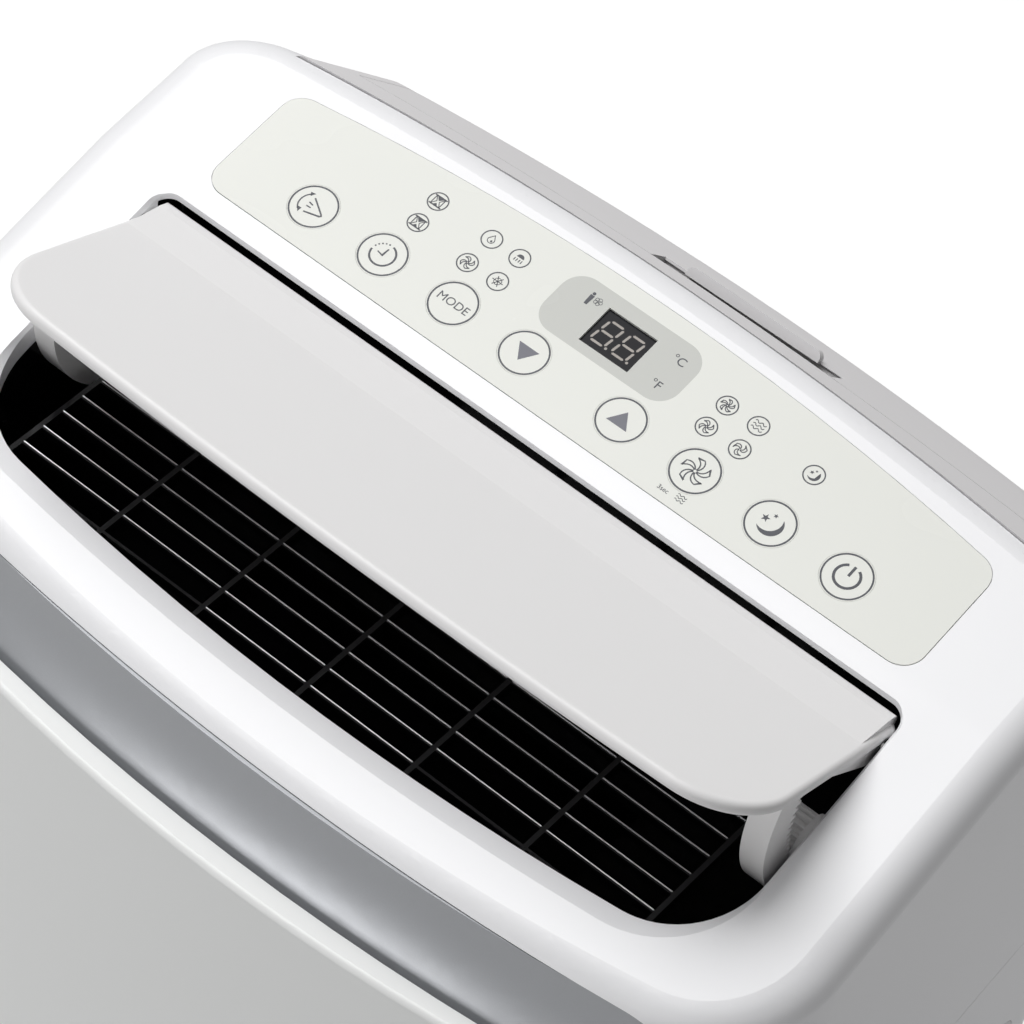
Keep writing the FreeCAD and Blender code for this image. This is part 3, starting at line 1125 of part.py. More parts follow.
def make_caster_wheel(x, y):
    """Nylon wheel with a rounded tread, running on the fork's axle."""
    axle_y = y + WHEEL_TRAIL
    half = WHEEL_WIDTH / 2
    wheel = rod(WHEEL_RADIUS, (x - half, axle_y, WHEEL_RADIUS), (x + half, axle_y, WHEEL_RADIUS))
    wheel = wheel.makeFillet(WHEEL_ROUND, [e for e in wheel.Edges if e.Length > WHEEL_RADIUS
                                   and e.BoundBox.XLength < 1])
    for side in (-1, 1):
        x0, x1 = x + side * (half - WHEEL_DISH), x + side * WHEEL_WIDTH
        wheel = wheel.cut(ring(WHEEL_RADIUS * DISH_SHARE, AXLE_RADIUS + WHEEL_HUB_WALL,
                               (x0, axle_y, WHEEL_RADIUS), (x1, axle_y, WHEEL_RADIUS)))
    return wheel.cut(rod(AXLE_RADIUS + RUNNING, (x - WHEEL_WIDTH, axle_y, WHEEL_RADIUS),
                         (x + WHEEL_WIDTH, axle_y, WHEEL_RADIUS)))


# ---------------------------------------------------------------- inside
def make_partition():
    """Plate between the cold upper and the hot lower air circuit."""
    gap = WALL + PARTITION_GAP
    front = prism_up(plan_wire(
        HALF - gap, FRONT + PANEL_FOOT_LEAN + gap, PANEL_BOW, PANEL_CORNER - gap,
        REAR_SEAM_Y - 16, 1e5, PARTITION_GAP, PARTITION_HEIGHT), WALL)
    back = prism_up(plan_wire(
        REAR_HALF - gap, 0, 4 * PANEL_BOW, PANEL_CORNER, REAR - gap - COLLAR_LENGTH / 2, REAR_BOW,
        REAR_CORNER - gap, PARTITION_HEIGHT), WALL)
    plate = front.fuse(back).removeSplitter()
    for x, y, radius in pipe_holes():
        plate = plate.cut(rod(radius, (x, y, 0), (x, y, DECK_HEIGHT)))
    return plate


def pipe_holes():
    """Holes in the partition for the refrigerant pipes: x, y, radius."""
    return [(x, PIPE_Y, TUBE_RADIUS + 3) for x in PIPE_X]


def make_coil(x0, x1, y0, z0, z1):
    """Finned heat exchanger: end plates, fin block and return bends."""
    y1 = y0 + COIL_THICKNESS
    plate = 2.0
    pieces = [box(x0 + COIL_END + 1, x1 - COIL_END - 1, y0 + 1, y1 - 1, z0 + 1, z1 - 1)]
    for x in (x0 + COIL_END, x1 - COIL_END - plate):
        pieces.append(box(x, x + plate, y0, y1, z0, z1))
    count = int((z1 - z0 - BEND_SPACING) / (2 * BEND_SPACING))
    for i in range(count):
        z = z0 + BEND_ROW + 2 * BEND_SPACING * i
        for y in (y0 + COIL_THICKNESS * 0.3, y1 - COIL_THICKNESS * 0.3):
            for bend_x in (x0 + TUBE_RADIUS, x1 - TUBE_RADIUS):
                inside = x0 + COIL_END + 1 if bend_x < (x0 + x1) / 2 else x1 - COIL_END - 1
                for tube_z in (z, z + BEND_SPACING):
                    pieces.append(rod(TUBE_RADIUS, (inside, y, tube_z), (bend_x, y, tube_z)))
                    pieces.append(Part.makeSphere(TUBE_RADIUS, V(bend_x, y, tube_z)))
                pieces.append(rod(TUBE_RADIUS, (bend_x, y, z), (bend_x, y, z + BEND_SPACING)))
    return fuse(pieces)


def make_evaporator():
    """Cold coil behind the upper filter."""
    half = REAR_HALF - EVAPORATOR_SIDE
    return make_coil(-half, half, REAR - EVAPORATOR_SETBACK, PARTITION_TOP,
                     DECK_HEIGHT - EVAPORATOR_DROP)


def make_condenser():
    """Hot coil behind the lower intake."""
    x0 = LOWER_FRAME_X - LOWER_FRAME_WIDTH / 2
    x1 = LOWER_FRAME_X + LOWER_FRAME_WIDTH / 2
    return make_coil(x0, x1, REAR - CONDENSER_SETBACK, CASTER_HEIGHT + STEM_LENGTH + 2 * WALL,
                     PARTITION_HEIGHT - 1)


def wheel_shape(radius, width, blades, axis_y):
    """Forward-curved fan wheel about the Z axis, from z = 0 up, before it is turned."""
    plate = Part.makeCylinder(radius, WHEEL_PLATE)
    base = V(0, 0, width - WHEEL_RIM)
    rim = Part.makeCylinder(radius, WHEEL_RIM, base).cut(
        Part.makeCylinder(radius - BLADE_CHORD, WHEEL_RIM, base))
    tip = radius - BLADE_TIP
    blade = box(tip - BLADE_CHORD, tip, -BLADE_THICKNESS / 2, BLADE_THICKNESS / 2, 0, width)
    blade.rotate(V(tip, 0, 0), V(0, 0, 1), -BLADE_LEAN)
    blade = blade.common(Part.makeCylinder(radius - BLADE_TIP / 2, width))
    pieces = [plate, rim]
    for i in range(blades):
        copy = blade.copy()
        copy.rotate(V(0, 0, 0), V(0, 0, 1), 360.0 * i / blades)
        pieces.append(copy)
    hub = Part.makeCylinder(SHAFT_RADIUS + HUB_WALL, HUB_LENGTH)
    wheel = fuse(pieces + [hub]).cut(Part.makeCylinder(SHAFT_RADIUS, 2 * width, V(0, 0, -width)))
    wheel.rotate(V(0, 0, 0), V(1, 0, 0), -90 if axis_y else 0)
    if not axis_y:
        wheel.rotate(V(0, 0, 0), V(0, 1, 0), 90)
    return wheel


def make_blower_wheel():
    """Blower wheel that draws through the evaporator and blows up to the outlet."""
    wheel = wheel_shape(BLOWER_RADIUS, BLOWER_WIDTH, BLADES, True)
    wheel.translate(V(0, BLOWER_Y, BLOWER_Z))
    return wheel


def make_blower_motor():
    """Blower motor in front of the scroll, with a seat for the wheel's shaft."""
    y1 = BLOWER_Y - SCROLL_GAP - WALL - FIT
    body = rod(BLOWER_MOTOR_RADIUS, (0, y1 - BLOWER_MOTOR_LENGTH, BLOWER_Z), (0, y1, BLOWER_Z))
    flange = rod(BLOWER_FLANGE_RADIUS, (0, y1 - WALL, BLOWER_Z), (0, y1, BLOWER_Z))
    bore = rod(SHAFT_RADIUS + RUNNING, (0, y1 - MOTOR_SEAT, BLOWER_Z), (0, y1 + WALL, BLOWER_Z))
    return fuse([body, flange]).cut(bore)


def make_blower_shaft():
    """Shaft that the blower wheel is pressed on."""
    y0 = BLOWER_Y - SCROLL_GAP - WALL - SHAFT_REACH
    return rod(SHAFT_RADIUS, (0, y0, BLOWER_Z), (0, BLOWER_Y + SHAFT_REACH, BLOWER_Z))


def make_blower_scroll():
    """Scroll casing round the blower wheel with a neck up to the outlet duct."""
    y0, y1 = BLOWER_Y - SCROLL_GAP, BLOWER_Y + BLOWER_WIDTH + SCROLL_GAP
    radius = BLOWER_RADIUS + SCROLL_ROOM
    top = DUCT_FLOOR - SEAM

    def volume(inset):
        drum = rod(radius - inset, (0, y0 + inset, BLOWER_Z), (0, y1 - inset, BLOWER_Z))
        throat = box(-NECK_HALF + inset, NECK_HALF - inset, y0 + inset, y1 - inset, BLOWER_Z,
                     BLOWER_Z + radius)
        lower = [V(-NECK_HALF + inset, y0 + inset, BLOWER_Z + radius - 1),
                 V(NECK_HALF - inset, y0 + inset, BLOWER_Z + radius - 1),
                 V(NECK_HALF - inset, y1 - inset, BLOWER_Z + radius - 1),
                 V(-NECK_HALF + inset, y1 - inset, BLOWER_Z + radius - 1)]
        rise = top + inset
        upper = [V(-NECK_HALF + inset, NECK_FRONT + inset, rise),
                 V(NECK_HALF - inset, NECK_FRONT + inset, rise),
                 V(NECK_HALF - inset, NECK_BACK - inset, rise),
                 V(-NECK_HALF + inset, NECK_BACK - inset, rise)]
        neck = Part.makeLoft([Part.makePolygon(lower + lower[:1]),
                              Part.makePolygon(upper + upper[:1])], True, True)
        return fuse([drum, throat, neck])

    scroll = volume(0).cut(volume(WALL))
    inlet = rod(BLOWER_RADIUS * INLET_SHARE, (0, y1 - 2 * WALL, BLOWER_Z), (0, y1 + WALL, BLOWER_Z))
    hub = rod(SHAFT_RADIUS + HUB_WALL, (0, y0 - WALL, BLOWER_Z), (0, y0 + 2 * WALL, BLOWER_Z))
    return max(scroll.cut([inlet, hub]).removeSplitter().Solids, key=lambda s: s.Volume)


def make_fan_wheel():
    """Condenser fan wheel, its axis across the unit."""
    wheel = wheel_shape(FAN_RADIUS, FAN_WIDTH, BLADES, False)
    wheel.translate(V(FAN_X, FAN_Y, COLLAR_Z))
    return wheel


def make_fan_shaft():
    """Shaft that the condenser fan wheel is pressed on."""
    return rod(SHAFT_RADIUS, (FAN_X - SCROLL_GAP - WALL - SHAFT_REACH, FAN_Y, COLLAR_Z),
               (FAN_X + SHAFT_REACH, FAN_Y, COLLAR_Z))


def make_fan_motor():
    """Condenser fan motor on the left of its scroll."""
    x1 = FAN_X - SCROLL_GAP - WALL - FIT
    body = rod(FAN_MOTOR_RADIUS, (x1 - FAN_MOTOR_LENGTH, FAN_Y, COLLAR_Z), (x1, FAN_Y, COLLAR_Z))
    bore = rod(SHAFT_RADIUS + RUNNING, (x1 - MOTOR_SEAT, FAN_Y, COLLAR_Z),
               (x1 + WALL, FAN_Y, COLLAR_Z))
    middle = x1 - FAN_MOTOR_LENGTH / 2
    foot = box(middle - FAN_FOOT_LENGTH / 2, middle + FAN_FOOT_LENGTH / 2,
               FAN_Y - FAN_FOOT_WIDTH / 2, FAN_Y + FAN_FOOT_WIDTH / 2, CASTER_HEIGHT + WALL,
               COLLAR_Z - FAN_FOOT_TOP)
    return fuse([body, foot]).cut(bore)


def make_fan_scroll():
    """Scroll casing of the condenser fan, open to the hose collar at the back."""
    x0, x1 = FAN_X - SCROLL_GAP, FAN_X + FAN_WIDTH + SCROLL_GAP
    radius = FAN_RADIUS + SCROLL_ROOM
    end = REAR - COLLAR_LENGTH - SEAM

    def volume(inset):
        drum = rod(radius - inset, (x0 + inset, FAN_Y, COLLAR_Z), (x1 - inset, FAN_Y, COLLAR_Z))
        neck = box(x0 + inset, x1 - inset, FAN_Y, end + inset, COLLAR_Z - radius + inset,
                   COLLAR_Z + radius - inset)
        return fuse([drum, neck])

    scroll = volume(0).cut(volume(WALL))
    inlet = rod(FAN_RADIUS * INLET_SHARE, (x1 - 2 * WALL, FAN_Y, COLLAR_Z), (x1 + WALL, FAN_Y, COLLAR_Z))
    hub = rod(SHAFT_RADIUS + HUB_WALL, (x0 - WALL, FAN_Y, COLLAR_Z), (x0 + 2 * WALL, FAN_Y, COLLAR_Z))
    return max(scroll.cut([inlet, hub]).Solids, key=lambda s: s.Volume)


def make_compressor():
    """Hermetic compressor: can with domed ends, foot plate and suction accumulator."""
    x, y = COMPRESSOR_PLACE
    z = CASTER_HEIGHT + WALL + GROMMET_HEIGHT
    can = rod(COMPRESSOR_RADIUS, (x, y, z + WALL), (x, y, z + COMPRESSOR_HEIGHT))
    can = can.makeFillet(COMPRESSOR_DOME, [e for e in can.Edges if e.BoundBox.ZMin > z + 2 * WALL])
    half = COMPRESSOR_FOOT / 2
    foot = rounded_slab(x - half, x + half, y - half, y + half, z, z + WALL, FOOT_CORNER)
    side = x - BOTTLE_OFFSET
    bottle = rod(BOTTLE_RADIUS, (side, y, z + BOTTLE_START), (side, y, z + BOTTLE_END))
    neck_z = z + BOTTLE_START + BOTTLE_RADIUS
    neck = rod(BOTTLE_NECK_RADIUS, (side, y, neck_z), (x, y, neck_z))
    holes = [rod(GROMMET_HOLE, (x + a, y + b, 0), (x + a, y + b, DECK_HEIGHT))
             for a, b in GROMMET_PLACES]
    return fuse([can, foot, bottle, neck]).cut([h.common(foot) for h in holes])


def make_grommets():
    """Four rubber feet under the compressor."""
    x, y = COMPRESSOR_PLACE
    z = CASTER_HEIGHT + WALL
    return Part.makeCompound([
        rod(GROMMET_RADIUS, (x + a, y + b, z), (x + a, y + b, z + GROMMET_HEIGHT))
        for a, b in GROMMET_PLACES])


def pipe(points, radius):
    """Round pipe through points, with arcs at its corners."""
    corners = [V(*p) for p in points]
    edges = []
    start = corners[0]
    for before, here, after in zip(corners, corners[1:], corners[2:]):
        into, out = (here - before).normalize(), (after - here).normalize()
        turn = into.getAngle(out)
        cut = BEND_RADIUS * math.tan(turn / 2)
        first, last = here - into * cut, here + out * cut
        half = (out - into).normalize()
        middle = here + half * (BEND_RADIUS / math.cos(turn / 2) - BEND_RADIUS)
        edges += [Part.makeLine(start, first), Part.Arc(first, middle, last).toShape()]
        start = last
    edges.append(Part.makeLine(start, corners[-1]))
    path = Part.Wire(edges)
    direction = (corners[1] - corners[0]).normalize()
    profile = Part.Wire(Part.makeCircle(radius, corners[0], direction))
    return path.makePipeShell([profile], True, True)


def make_pipes():
    """Refrigerant pipes between compressor and coils."""
    low = PARTITION_HEIGHT - 1.5 * BEND_RADIUS
    coil_y = REAR - EVAPORATOR_SETBACK + COIL_THICKNESS / 2
    coil_x = EVAPORATOR_SIDE - REAR_HALF + COIL_END - FIT
    between_bends = PARTITION_TOP + BEND_ROW + 1.5 * BEND_SPACING
    shapes = []
    for i, hole_x in enumerate(PIPE_X):
        level = between_bends + 4 * BEND_SPACING * i
        shapes.append(pipe([(hole_x, PIPE_Y - PIPE_RUN, low), (hole_x, PIPE_Y, low),
                            (hole_x, PIPE_Y, level), (hole_x, coil_y, level),
                            (coil_x, coil_y, level)], TUBE_RADIUS))
    return Part.makeCompound(shapes)


def make_electrical_box():
    """Closed box of the power electronics above the partition."""
    x1 = HALF - WALL - BOX_SIDE_GAP
    y0 = FRONT + BOX_SETBACK
    return rounded_slab(x1 - BOX_WIDTH, x1, y0, y0 + BOX_LENGTH, PARTITION_TOP,
                        PARTITION_TOP + BOX_HEIGHT, BOX_CORNER)


# ---------------------------------------------------------------- all sub-parts
def build():
    """Every node's name and shape."""
    nodes = {
        "top_cover": make_top_cover(), "front_panel": make_front_panel(),
        "trim_band": make_trim_band(),
        "side_panel_left": make_side_panel(-1), "side_panel_right": make_side_panel(1),
        "handle_cup_left": make_handle_cup(-1), "handle_cup_right": make_handle_cup(1),
        "rear_cover": make_rear_cover(), "rear_lower_cover": make_rear_lower(),
        "filter_frame": make_filter_frame(), "filter_mesh": make_filter_mesh(),
        "lower_intake_frame": make_lower_frame(), "exhaust_collar": make_exhaust_collar(),
        "drain_spout": make_drain_spout(), "drain_plug": make_drain_plug(),
        "cord_gland": make_cord_gland(), "base_pan": make_base_pan(),
        "discharge_duct": make_discharge_duct(), "discharge_grille": make_discharge_grille(),
        "flap": make_flap(), "flap_sector_arm": make_sector_arm(),
        "flap_guide_arm": make_guide_arm(), "flap_hinge_pins": make_hinge_pins(),
        "drive_pinion": make_pinion(), "flap_motor": make_flap_motor(),
        "drive_cover": make_drive_cover(),
        "control_overlay": make_control_overlay(), "control_board": make_control_board(),
        "display_module": make_display(),
        "partition_plate": make_partition(), "evaporator_coil": make_evaporator(),
        "condenser_coil": make_condenser(), "compressor": make_compressor(),
        "compressor_grommets": make_grommets(), "refrigerant_pipes": make_pipes(),
        "blower_scroll": make_blower_scroll(), "blower_wheel": make_blower_wheel(),
        "blower_shaft": make_blower_shaft(), "blower_motor": make_blower_motor(),
        "fan_scroll": make_fan_scroll(), "fan_wheel": make_fan_wheel(),
        "fan_shaft": make_fan_shaft(), "fan_motor": make_fan_motor(),
        "electrical_box": make_electrical_box(),
    }
    for name, x in KEY_PLACES.items():
        nodes[name] = make_key(x)
    for name, x, y in caster_places():
        nodes["caster_fork_" + name] = make_caster_fork(x, y)
        nodes["caster_wheel_" + name] = make_caster_wheel(x, y)
    return nodes


def export(nodes):
    """Write one STEP file for each node."""
    os.makedirs("parts", exist_ok=True)
    for name, shape in nodes.items():
        shape.exportStep(os.path.join("parts", name + ".step"))
        bounds = shape.BoundBox
        print("%-26s solids %d  volume %8.1f cm3  z %6.1f to %6.1f" % (
            name, len(shape.Solids), shape.Volume / 1000, bounds.ZMin, bounds.ZMax))


if __name__ == "__main__":
    export(build())
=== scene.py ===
"""Portable air conditioner: finishes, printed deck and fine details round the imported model.

Lengths are metres in the model's frame: +X to the right, +Y to the back, +Z up.  A value
that is easier to read in millimetres is written as a number times MM.
"""
import json
import logging
import math
from collections.abc import Callable, Sequence
from dataclasses import dataclass, field
from enum import Enum

import bmesh
import bpy
from mathutils import Matrix, Vector

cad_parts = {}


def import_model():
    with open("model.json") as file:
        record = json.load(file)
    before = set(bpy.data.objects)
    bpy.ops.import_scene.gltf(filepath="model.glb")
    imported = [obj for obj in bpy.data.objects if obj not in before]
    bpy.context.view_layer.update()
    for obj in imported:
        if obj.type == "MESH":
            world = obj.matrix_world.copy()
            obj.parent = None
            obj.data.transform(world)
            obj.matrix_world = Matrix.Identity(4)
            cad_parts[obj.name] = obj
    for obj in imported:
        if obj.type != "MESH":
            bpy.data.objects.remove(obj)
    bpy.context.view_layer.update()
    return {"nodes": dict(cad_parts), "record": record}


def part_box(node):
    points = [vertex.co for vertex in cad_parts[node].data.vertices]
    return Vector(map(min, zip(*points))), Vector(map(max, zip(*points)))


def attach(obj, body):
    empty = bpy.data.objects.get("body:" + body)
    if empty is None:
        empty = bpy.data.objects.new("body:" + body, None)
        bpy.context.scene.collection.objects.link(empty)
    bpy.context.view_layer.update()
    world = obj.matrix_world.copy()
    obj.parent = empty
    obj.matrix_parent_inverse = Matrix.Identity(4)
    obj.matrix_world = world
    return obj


MM = 0.001
ROOT = "root"
LOG = logging.getLogger("air_conditioner")
BRUSH_STRETCH = (0.03, 1.0, 1.0)

Point = tuple[float, float]
Point3 = tuple[float, float, float]
Outline = list[Point]


# ---------------------------------------------------------------- colours and nodes
def linear(code: str) -> tuple[float, float, float, float]:
    """Linear colour of an sRGB hex code.

    Args:
        code: six hex digits.

    Returns:
        Red, green, blue and an alpha of 1.
    """
    parts = [int(code[i:i + 2], 16) / 255 for i in (0, 2, 4)]
    red, green, blue = (p / 12.92 if p <= 0.04045 else ((p + 0.055) / 1.055) ** 2.4
                        for p in parts)
    return red, green, blue, 1.0


def add(tree: bpy.types.NodeTree, kind: str, settings: dict | None = None,
        links: dict | None = None) -> bpy.types.Node:
    """Add one node with its settings and links.

    Args:
        tree: node tree that gets the node.
        kind: Blender's name of the node type.
        settings: values by input name, input number or property name.
        links: source sockets by input name or number.

    Returns:
        The new node.
    """
    made = tree.nodes.new(kind)
    for key, value in (settings or {}).items():
        if isinstance(key, int) or key in made.inputs:
            made.inputs[key].default_value = value
        else:
            setattr(made, key, value)
    for key, source in (links or {}).items():
        tree.links.new(source, made.inputs[key])
    return made


# ---------------------------------------------------------------- finishes
class Pattern(Enum):
    """How a finish varies over its surface."""

    GRAIN = "fine moulded grain"
    BRUSHED = "drawn or turned lines"
    FINS = "thin upright fins"
    WEAVE = "square mesh"
    FLAKE = "metal flake under lacquer"


@dataclass(frozen=True)
class Finish:
    """One surface finish and the material made from it."""

    name: str
    colour: str
    roughness: float
    pattern: Pattern = Pattern.GRAIN
    spacing_mm: float = 0.8
    depth_mm: float = 0.006
    # Share by which the colour darkens: random tone from the drift, plus painted shade where the
    # pattern lies low.
    tone_and_shade: float = 0.02
    metallic: float = 0.0
    ior: float = 1.5
    coat: float = 0.0
    coat_roughness: float = 0.1
    drift_per_metre: float = 9.0
    bump_strength: float = 0.6
    roughness_spread: float = 0.1

    def material(self) -> bpy.types.Material:
        """Blender material of this finish, made once."""
        found = bpy.data.materials.get(self.name)
        return found or self._build()

    def _build(self) -> bpy.types.Material:
        """Make the material's nodes.

        Returns:
            The new material.
        """
        made = bpy.data.materials.new(self.name)
        made.use_nodes = True
        tree = made.node_tree
        tree.nodes.clear()
        place = add(tree, "ShaderNodeTexCoord").outputs["Object"]
        height = self._height(tree, place)
        base = linear(self.colour)
        # Darkest colour, reached with the random drift and where the pattern's height is low. This
        # paints shade into pits, fin gaps and the spots between weave strands.
        darker = tuple(c * (1 - self.tone_and_shade) for c in base[:3]) + (1.0,)
        drift = add(tree, "ShaderNodeTexNoise",
                    {"Scale": self.drift_per_metre, "Detail": 3.0}, {"Vector": place})
        blend = add(tree, "ShaderNodeMath", {"operation": "ADD", "use_clamp": True},
                    {0: add(tree, "ShaderNodeMath", {"operation": "MULTIPLY", 1: 0.5},
                            {0: drift.outputs["Fac"]}).outputs[0],
                     1: add(tree, "ShaderNodeMath", {"operation": "MULTIPLY", 1: 0.5},
                            {0: height}).outputs[0]})
        colour = add(tree, "ShaderNodeMix", {"data_type": "RGBA", 6: darker, 7: base},
                     {0: blend.outputs[0]})
        rough = add(tree, "ShaderNodeMapRange",
                    {"To Min": self.roughness * (1 - self.roughness_spread),
                     "To Max": min(1.0, self.roughness * (1 + self.roughness_spread))},
                    {"Value": drift.outputs["Fac"]})
        bump = add(tree, "ShaderNodeBump",
                   {"Strength": self.bump_strength, "Distance": self.depth_mm * MM},
                   {"Height": height})
        shader = add(tree, "ShaderNodeBsdfPrincipled",
                     {"Metallic": self.metallic, "IOR": self.ior, "Coat Weight": self.coat,
                      "Coat Roughness": self.coat_roughness},
                     {"Base Color": colour.outputs[2], "Roughness": rough.outputs[0],
                      "Normal": bump.outputs[0]})
        add(tree, "ShaderNodeOutputMaterial", None, {"Surface": shader.outputs[0]})
        return made

    def _height(self, tree: bpy.types.NodeTree,
                place: bpy.types.NodeSocket) -> bpy.types.NodeSocket:
        """Socket of the pattern's height, from 0 to 1.

        Args:
            tree: node tree of the material.
            place: socket with the object coordinates.

        Returns:
            The height socket.
        """
        per_metre = 1 / (self.spacing_mm * MM)
        if self.pattern is Pattern.FLAKE:
            return add(tree, "ShaderNodeTexVoronoi", {"Scale": per_metre},
                       {"Vector": place}).outputs["Distance"]
        if self.pattern is Pattern.GRAIN:
            return add(tree, "ShaderNodeTexNoise", {"Scale": per_metre, "Detail": 2.0},
                       {"Vector": place}).outputs["Fac"]
        if self.pattern is Pattern.BRUSHED:
            stretched = add(tree, "ShaderNodeMapping", {"Scale": BRUSH_STRETCH},
                            {"Vector": place})
            return add(tree, "ShaderNodeTexNoise", {"Scale": per_metre, "Detail": 3.0},
                       {"Vector": stretched.outputs[0]}).outputs["Fac"]
        axes = ("X",) if self.pattern is Pattern.FINS else ("X", "Z")
        waves = [self._wave(tree, place, axis) for axis in axes]
        if len(waves) == 1:
            return waves[0]
        return add(tree, "ShaderNodeMath", {"operation": "MAXIMUM"},
                   {0: waves[0], 1: waves[1]}).outputs[0]

    def _wave(self, tree: bpy.types.NodeTree, place: bpy.types.NodeSocket,
              axis: str) -> bpy.types.NodeSocket:
        """Socket of a triangle wave along one axis.

        Args:
            tree: node tree of the material.
            place: socket with the object coordinates.
            axis: X, Y or Z.

        Returns:
            The wave's socket, from 0 to 1.
        """
        split = add(tree, "ShaderNodeSeparateXYZ", None, {0: place})
        wave = add(tree, "ShaderNodeMath", {"operation": "PINGPONG", 1: self.spacing_mm * MM / 2},
                   {0: split.outputs[axis]})
        return add(tree, "ShaderNodeMath", {"operation": "MULTIPLY",
                                            1: 2 / (self.spacing_mm * MM)},
                   {0: wave.outputs[0]}).outputs[0]


# Injection-moulded ABS from a polished tool: an even white with a soft, wide highlight.
WHITE_COVER = Finish("white_abs_cover", "F7F7F9", 0.34, spacing_mm=0.7, depth_mm=0.004,
                     tone_and_shade=0.012, coat=0.15, coat_roughness=0.25)
# The same resin, a little more matt, in a greyer colour that paints in the shade on the flap and
# the drive parts.
SHADED_WHITE_FLAP = Finish("white_abs_flap_painted_shade", "F1F0F0", 0.42, spacing_mm=0.6, depth_mm=0.005,
                    tone_and_shade=0.015)
WHITE_PANEL = Finish("white_abs_panel", "F4F5F4", 0.38, spacing_mm=0.7, depth_mm=0.004,
                     tone_and_shade=0.012, coat=0.1, coat_roughness=0.3)
# Silver lacquer over ABS: flakes far smaller than a millimetre, drawn at 0.5 mm to show.
SILVER_LACQUER = Finish("silver_lacquer", "AEB0B4", 0.33, Pattern.FLAKE, spacing_mm=0.5,
                        depth_mm=0.003, tone_and_shade=0.10, metallic=0.5, coat=0.4,
                        coat_roughness=0.18)
# Spark-eroded grey ABS: a fine, dull grain.
GREY_GRAIN = Finish("grey_abs_grained", "EEECED", 0.55, spacing_mm=0.5, depth_mm=0.02,
                    tone_and_shade=0.03)
# Black ABS with a glossy skin, so it goes almost fully dark between reflections.
BLACK_GLOSS = Finish("black_abs_gloss", "0B0B0D", 0.16, spacing_mm=1.2, depth_mm=0.004,
                     tone_and_shade=0.15)
# Reverse-printed polyester film: satin, warm grey-white and very flat.
DECK_FILM = Finish("polyester_film", "EDEEE8", 0.27, spacing_mm=0.5, depth_mm=0.002,
                   tone_and_shade=0.003, ior=1.3)
BADGE_FILM = Finish("polyester_film_grey", "CDCEC9", 0.27, spacing_mm=0.5, depth_mm=0.002,
                    tone_and_shade=0.01, ior=1.3)
# Screen-printed ink on the film.
DECK_INK = Finish("screen_ink_slate", "31343F", 0.4, spacing_mm=0.3, depth_mm=0.002,
                  tone_and_shade=0.06)
ARROW_INK = Finish("screen_ink_grey", "646570", 0.4, spacing_mm=0.3, depth_mm=0.002,
                   tone_and_shade=0.06)
# Smoked epoxy over the digits and the pale, unlit segments in it.
DISPLAY_RESIN = Finish("smoked_epoxy", "17171C", 0.22, spacing_mm=0.6, depth_mm=0.002,
                       tone_and_shade=0.1, ior=1.18)
SEGMENT_RESIN = Finish("segment_epoxy", "AAA39C", 0.45, spacing_mm=0.4, depth_mm=0.003,
                       tone_and_shade=0.05)
# Light grey polished metal laid over the black grille bars: its colour is a painted glint standing
# in for the highlight along the black wires' tops, and the metal reflects as well.
GLINT_WIRE = Finish("guard_wire_painted_glint", "C9C9CC", 0.18, Pattern.BRUSHED, spacing_mm=0.4,
                    depth_mm=0.002, tone_and_shade=0.08, metallic=1.0)
# Moulded polypropylene, nylon and rubber: dark, dull and slightly pebbled.
BASE_RESIN = Finish("dark_polypropylene", "4A4A4C", 0.6, spacing_mm=0.6, depth_mm=0.02,
                    tone_and_shade=0.06)
CASTER_NYLON = Finish("black_nylon", "242427", 0.5, spacing_mm=0.6, depth_mm=0.015,
                      tone_and_shade=0.1)
SOFT_RUBBER = Finish("moulded_rubber", "1E1E1F", 0.8, spacing_mm=0.4, depth_mm=0.02,
                     tone_and_shade=0.15)
# Rolled aluminium fins, drawn at 1.6 mm so that they show; the strong darkening in the gaps
# between fins is painted shade.
COIL_FINS = Finish("aluminium_fins", "C8CBCE", 0.35, Pattern.FINS, spacing_mm=1.6,
                   depth_mm=0.4, tone_and_shade=0.45, metallic=1.0)
# Woven polypropylene mesh, drawn at 1.2 mm so that it shows; the strong darkening in the spots
# between strands is painted shade.
FILTER_WEAVE = Finish("filter_weave", "55565A", 0.75, Pattern.WEAVE, spacing_mm=1.2,
                      depth_mm=0.3, tone_and_shade=0.6)
# Zinc-plated steel, black enamel and drawn copper: metal with faint lines from its making.
ZINC_STEEL = Finish("zinc_plated_steel", "B9BBBF", 0.32, Pattern.BRUSHED, spacing_mm=0.5,
                    depth_mm=0.004, tone_and_shade=0.12, metallic=1.0)
BLACK_ENAMEL = Finish("black_enamel", "141415", 0.3, spacing_mm=1.5, depth_mm=0.02,
                      tone_and_shade=0.1, coat=0.3)
DRAWN_COPPER = Finish("drawn_copper", "C87A54", 0.3, Pattern.BRUSHED, spacing_mm=0.5,
                      depth_mm=0.004, tone_and_shade=0.15, metallic=1.0)
# Green solder mask with a faint glass weave under it.
CIRCUIT_BOARD = Finish("solder_mask", "1F6B3A", 0.4, Pattern.WEAVE, spacing_mm=1.5,
                       depth_mm=0.02, tone_and_shade=0.15)

SLOT_FINISHES = {
    "white_abs": WHITE_COVER, "panel_abs": WHITE_PANEL, "silver_trim": SILVER_LACQUER,
    "grey_abs": GREY_GRAIN, "black_abs": BLACK_GLOSS, "overlay_film": DECK_FILM,
    "display_lens": DISPLAY_RESIN, "circuit_board": CIRCUIT_BOARD, "base_plastic": BASE_RESIN,
    "coil_fins": COIL_FINS, "black_steel": BLACK_ENAMEL, "bright_steel": ZINC_STEEL,
    "copper": DRAWN_COPPER, "black_rubber": SOFT_RUBBER, "caster_black": CASTER_NYLON,
}
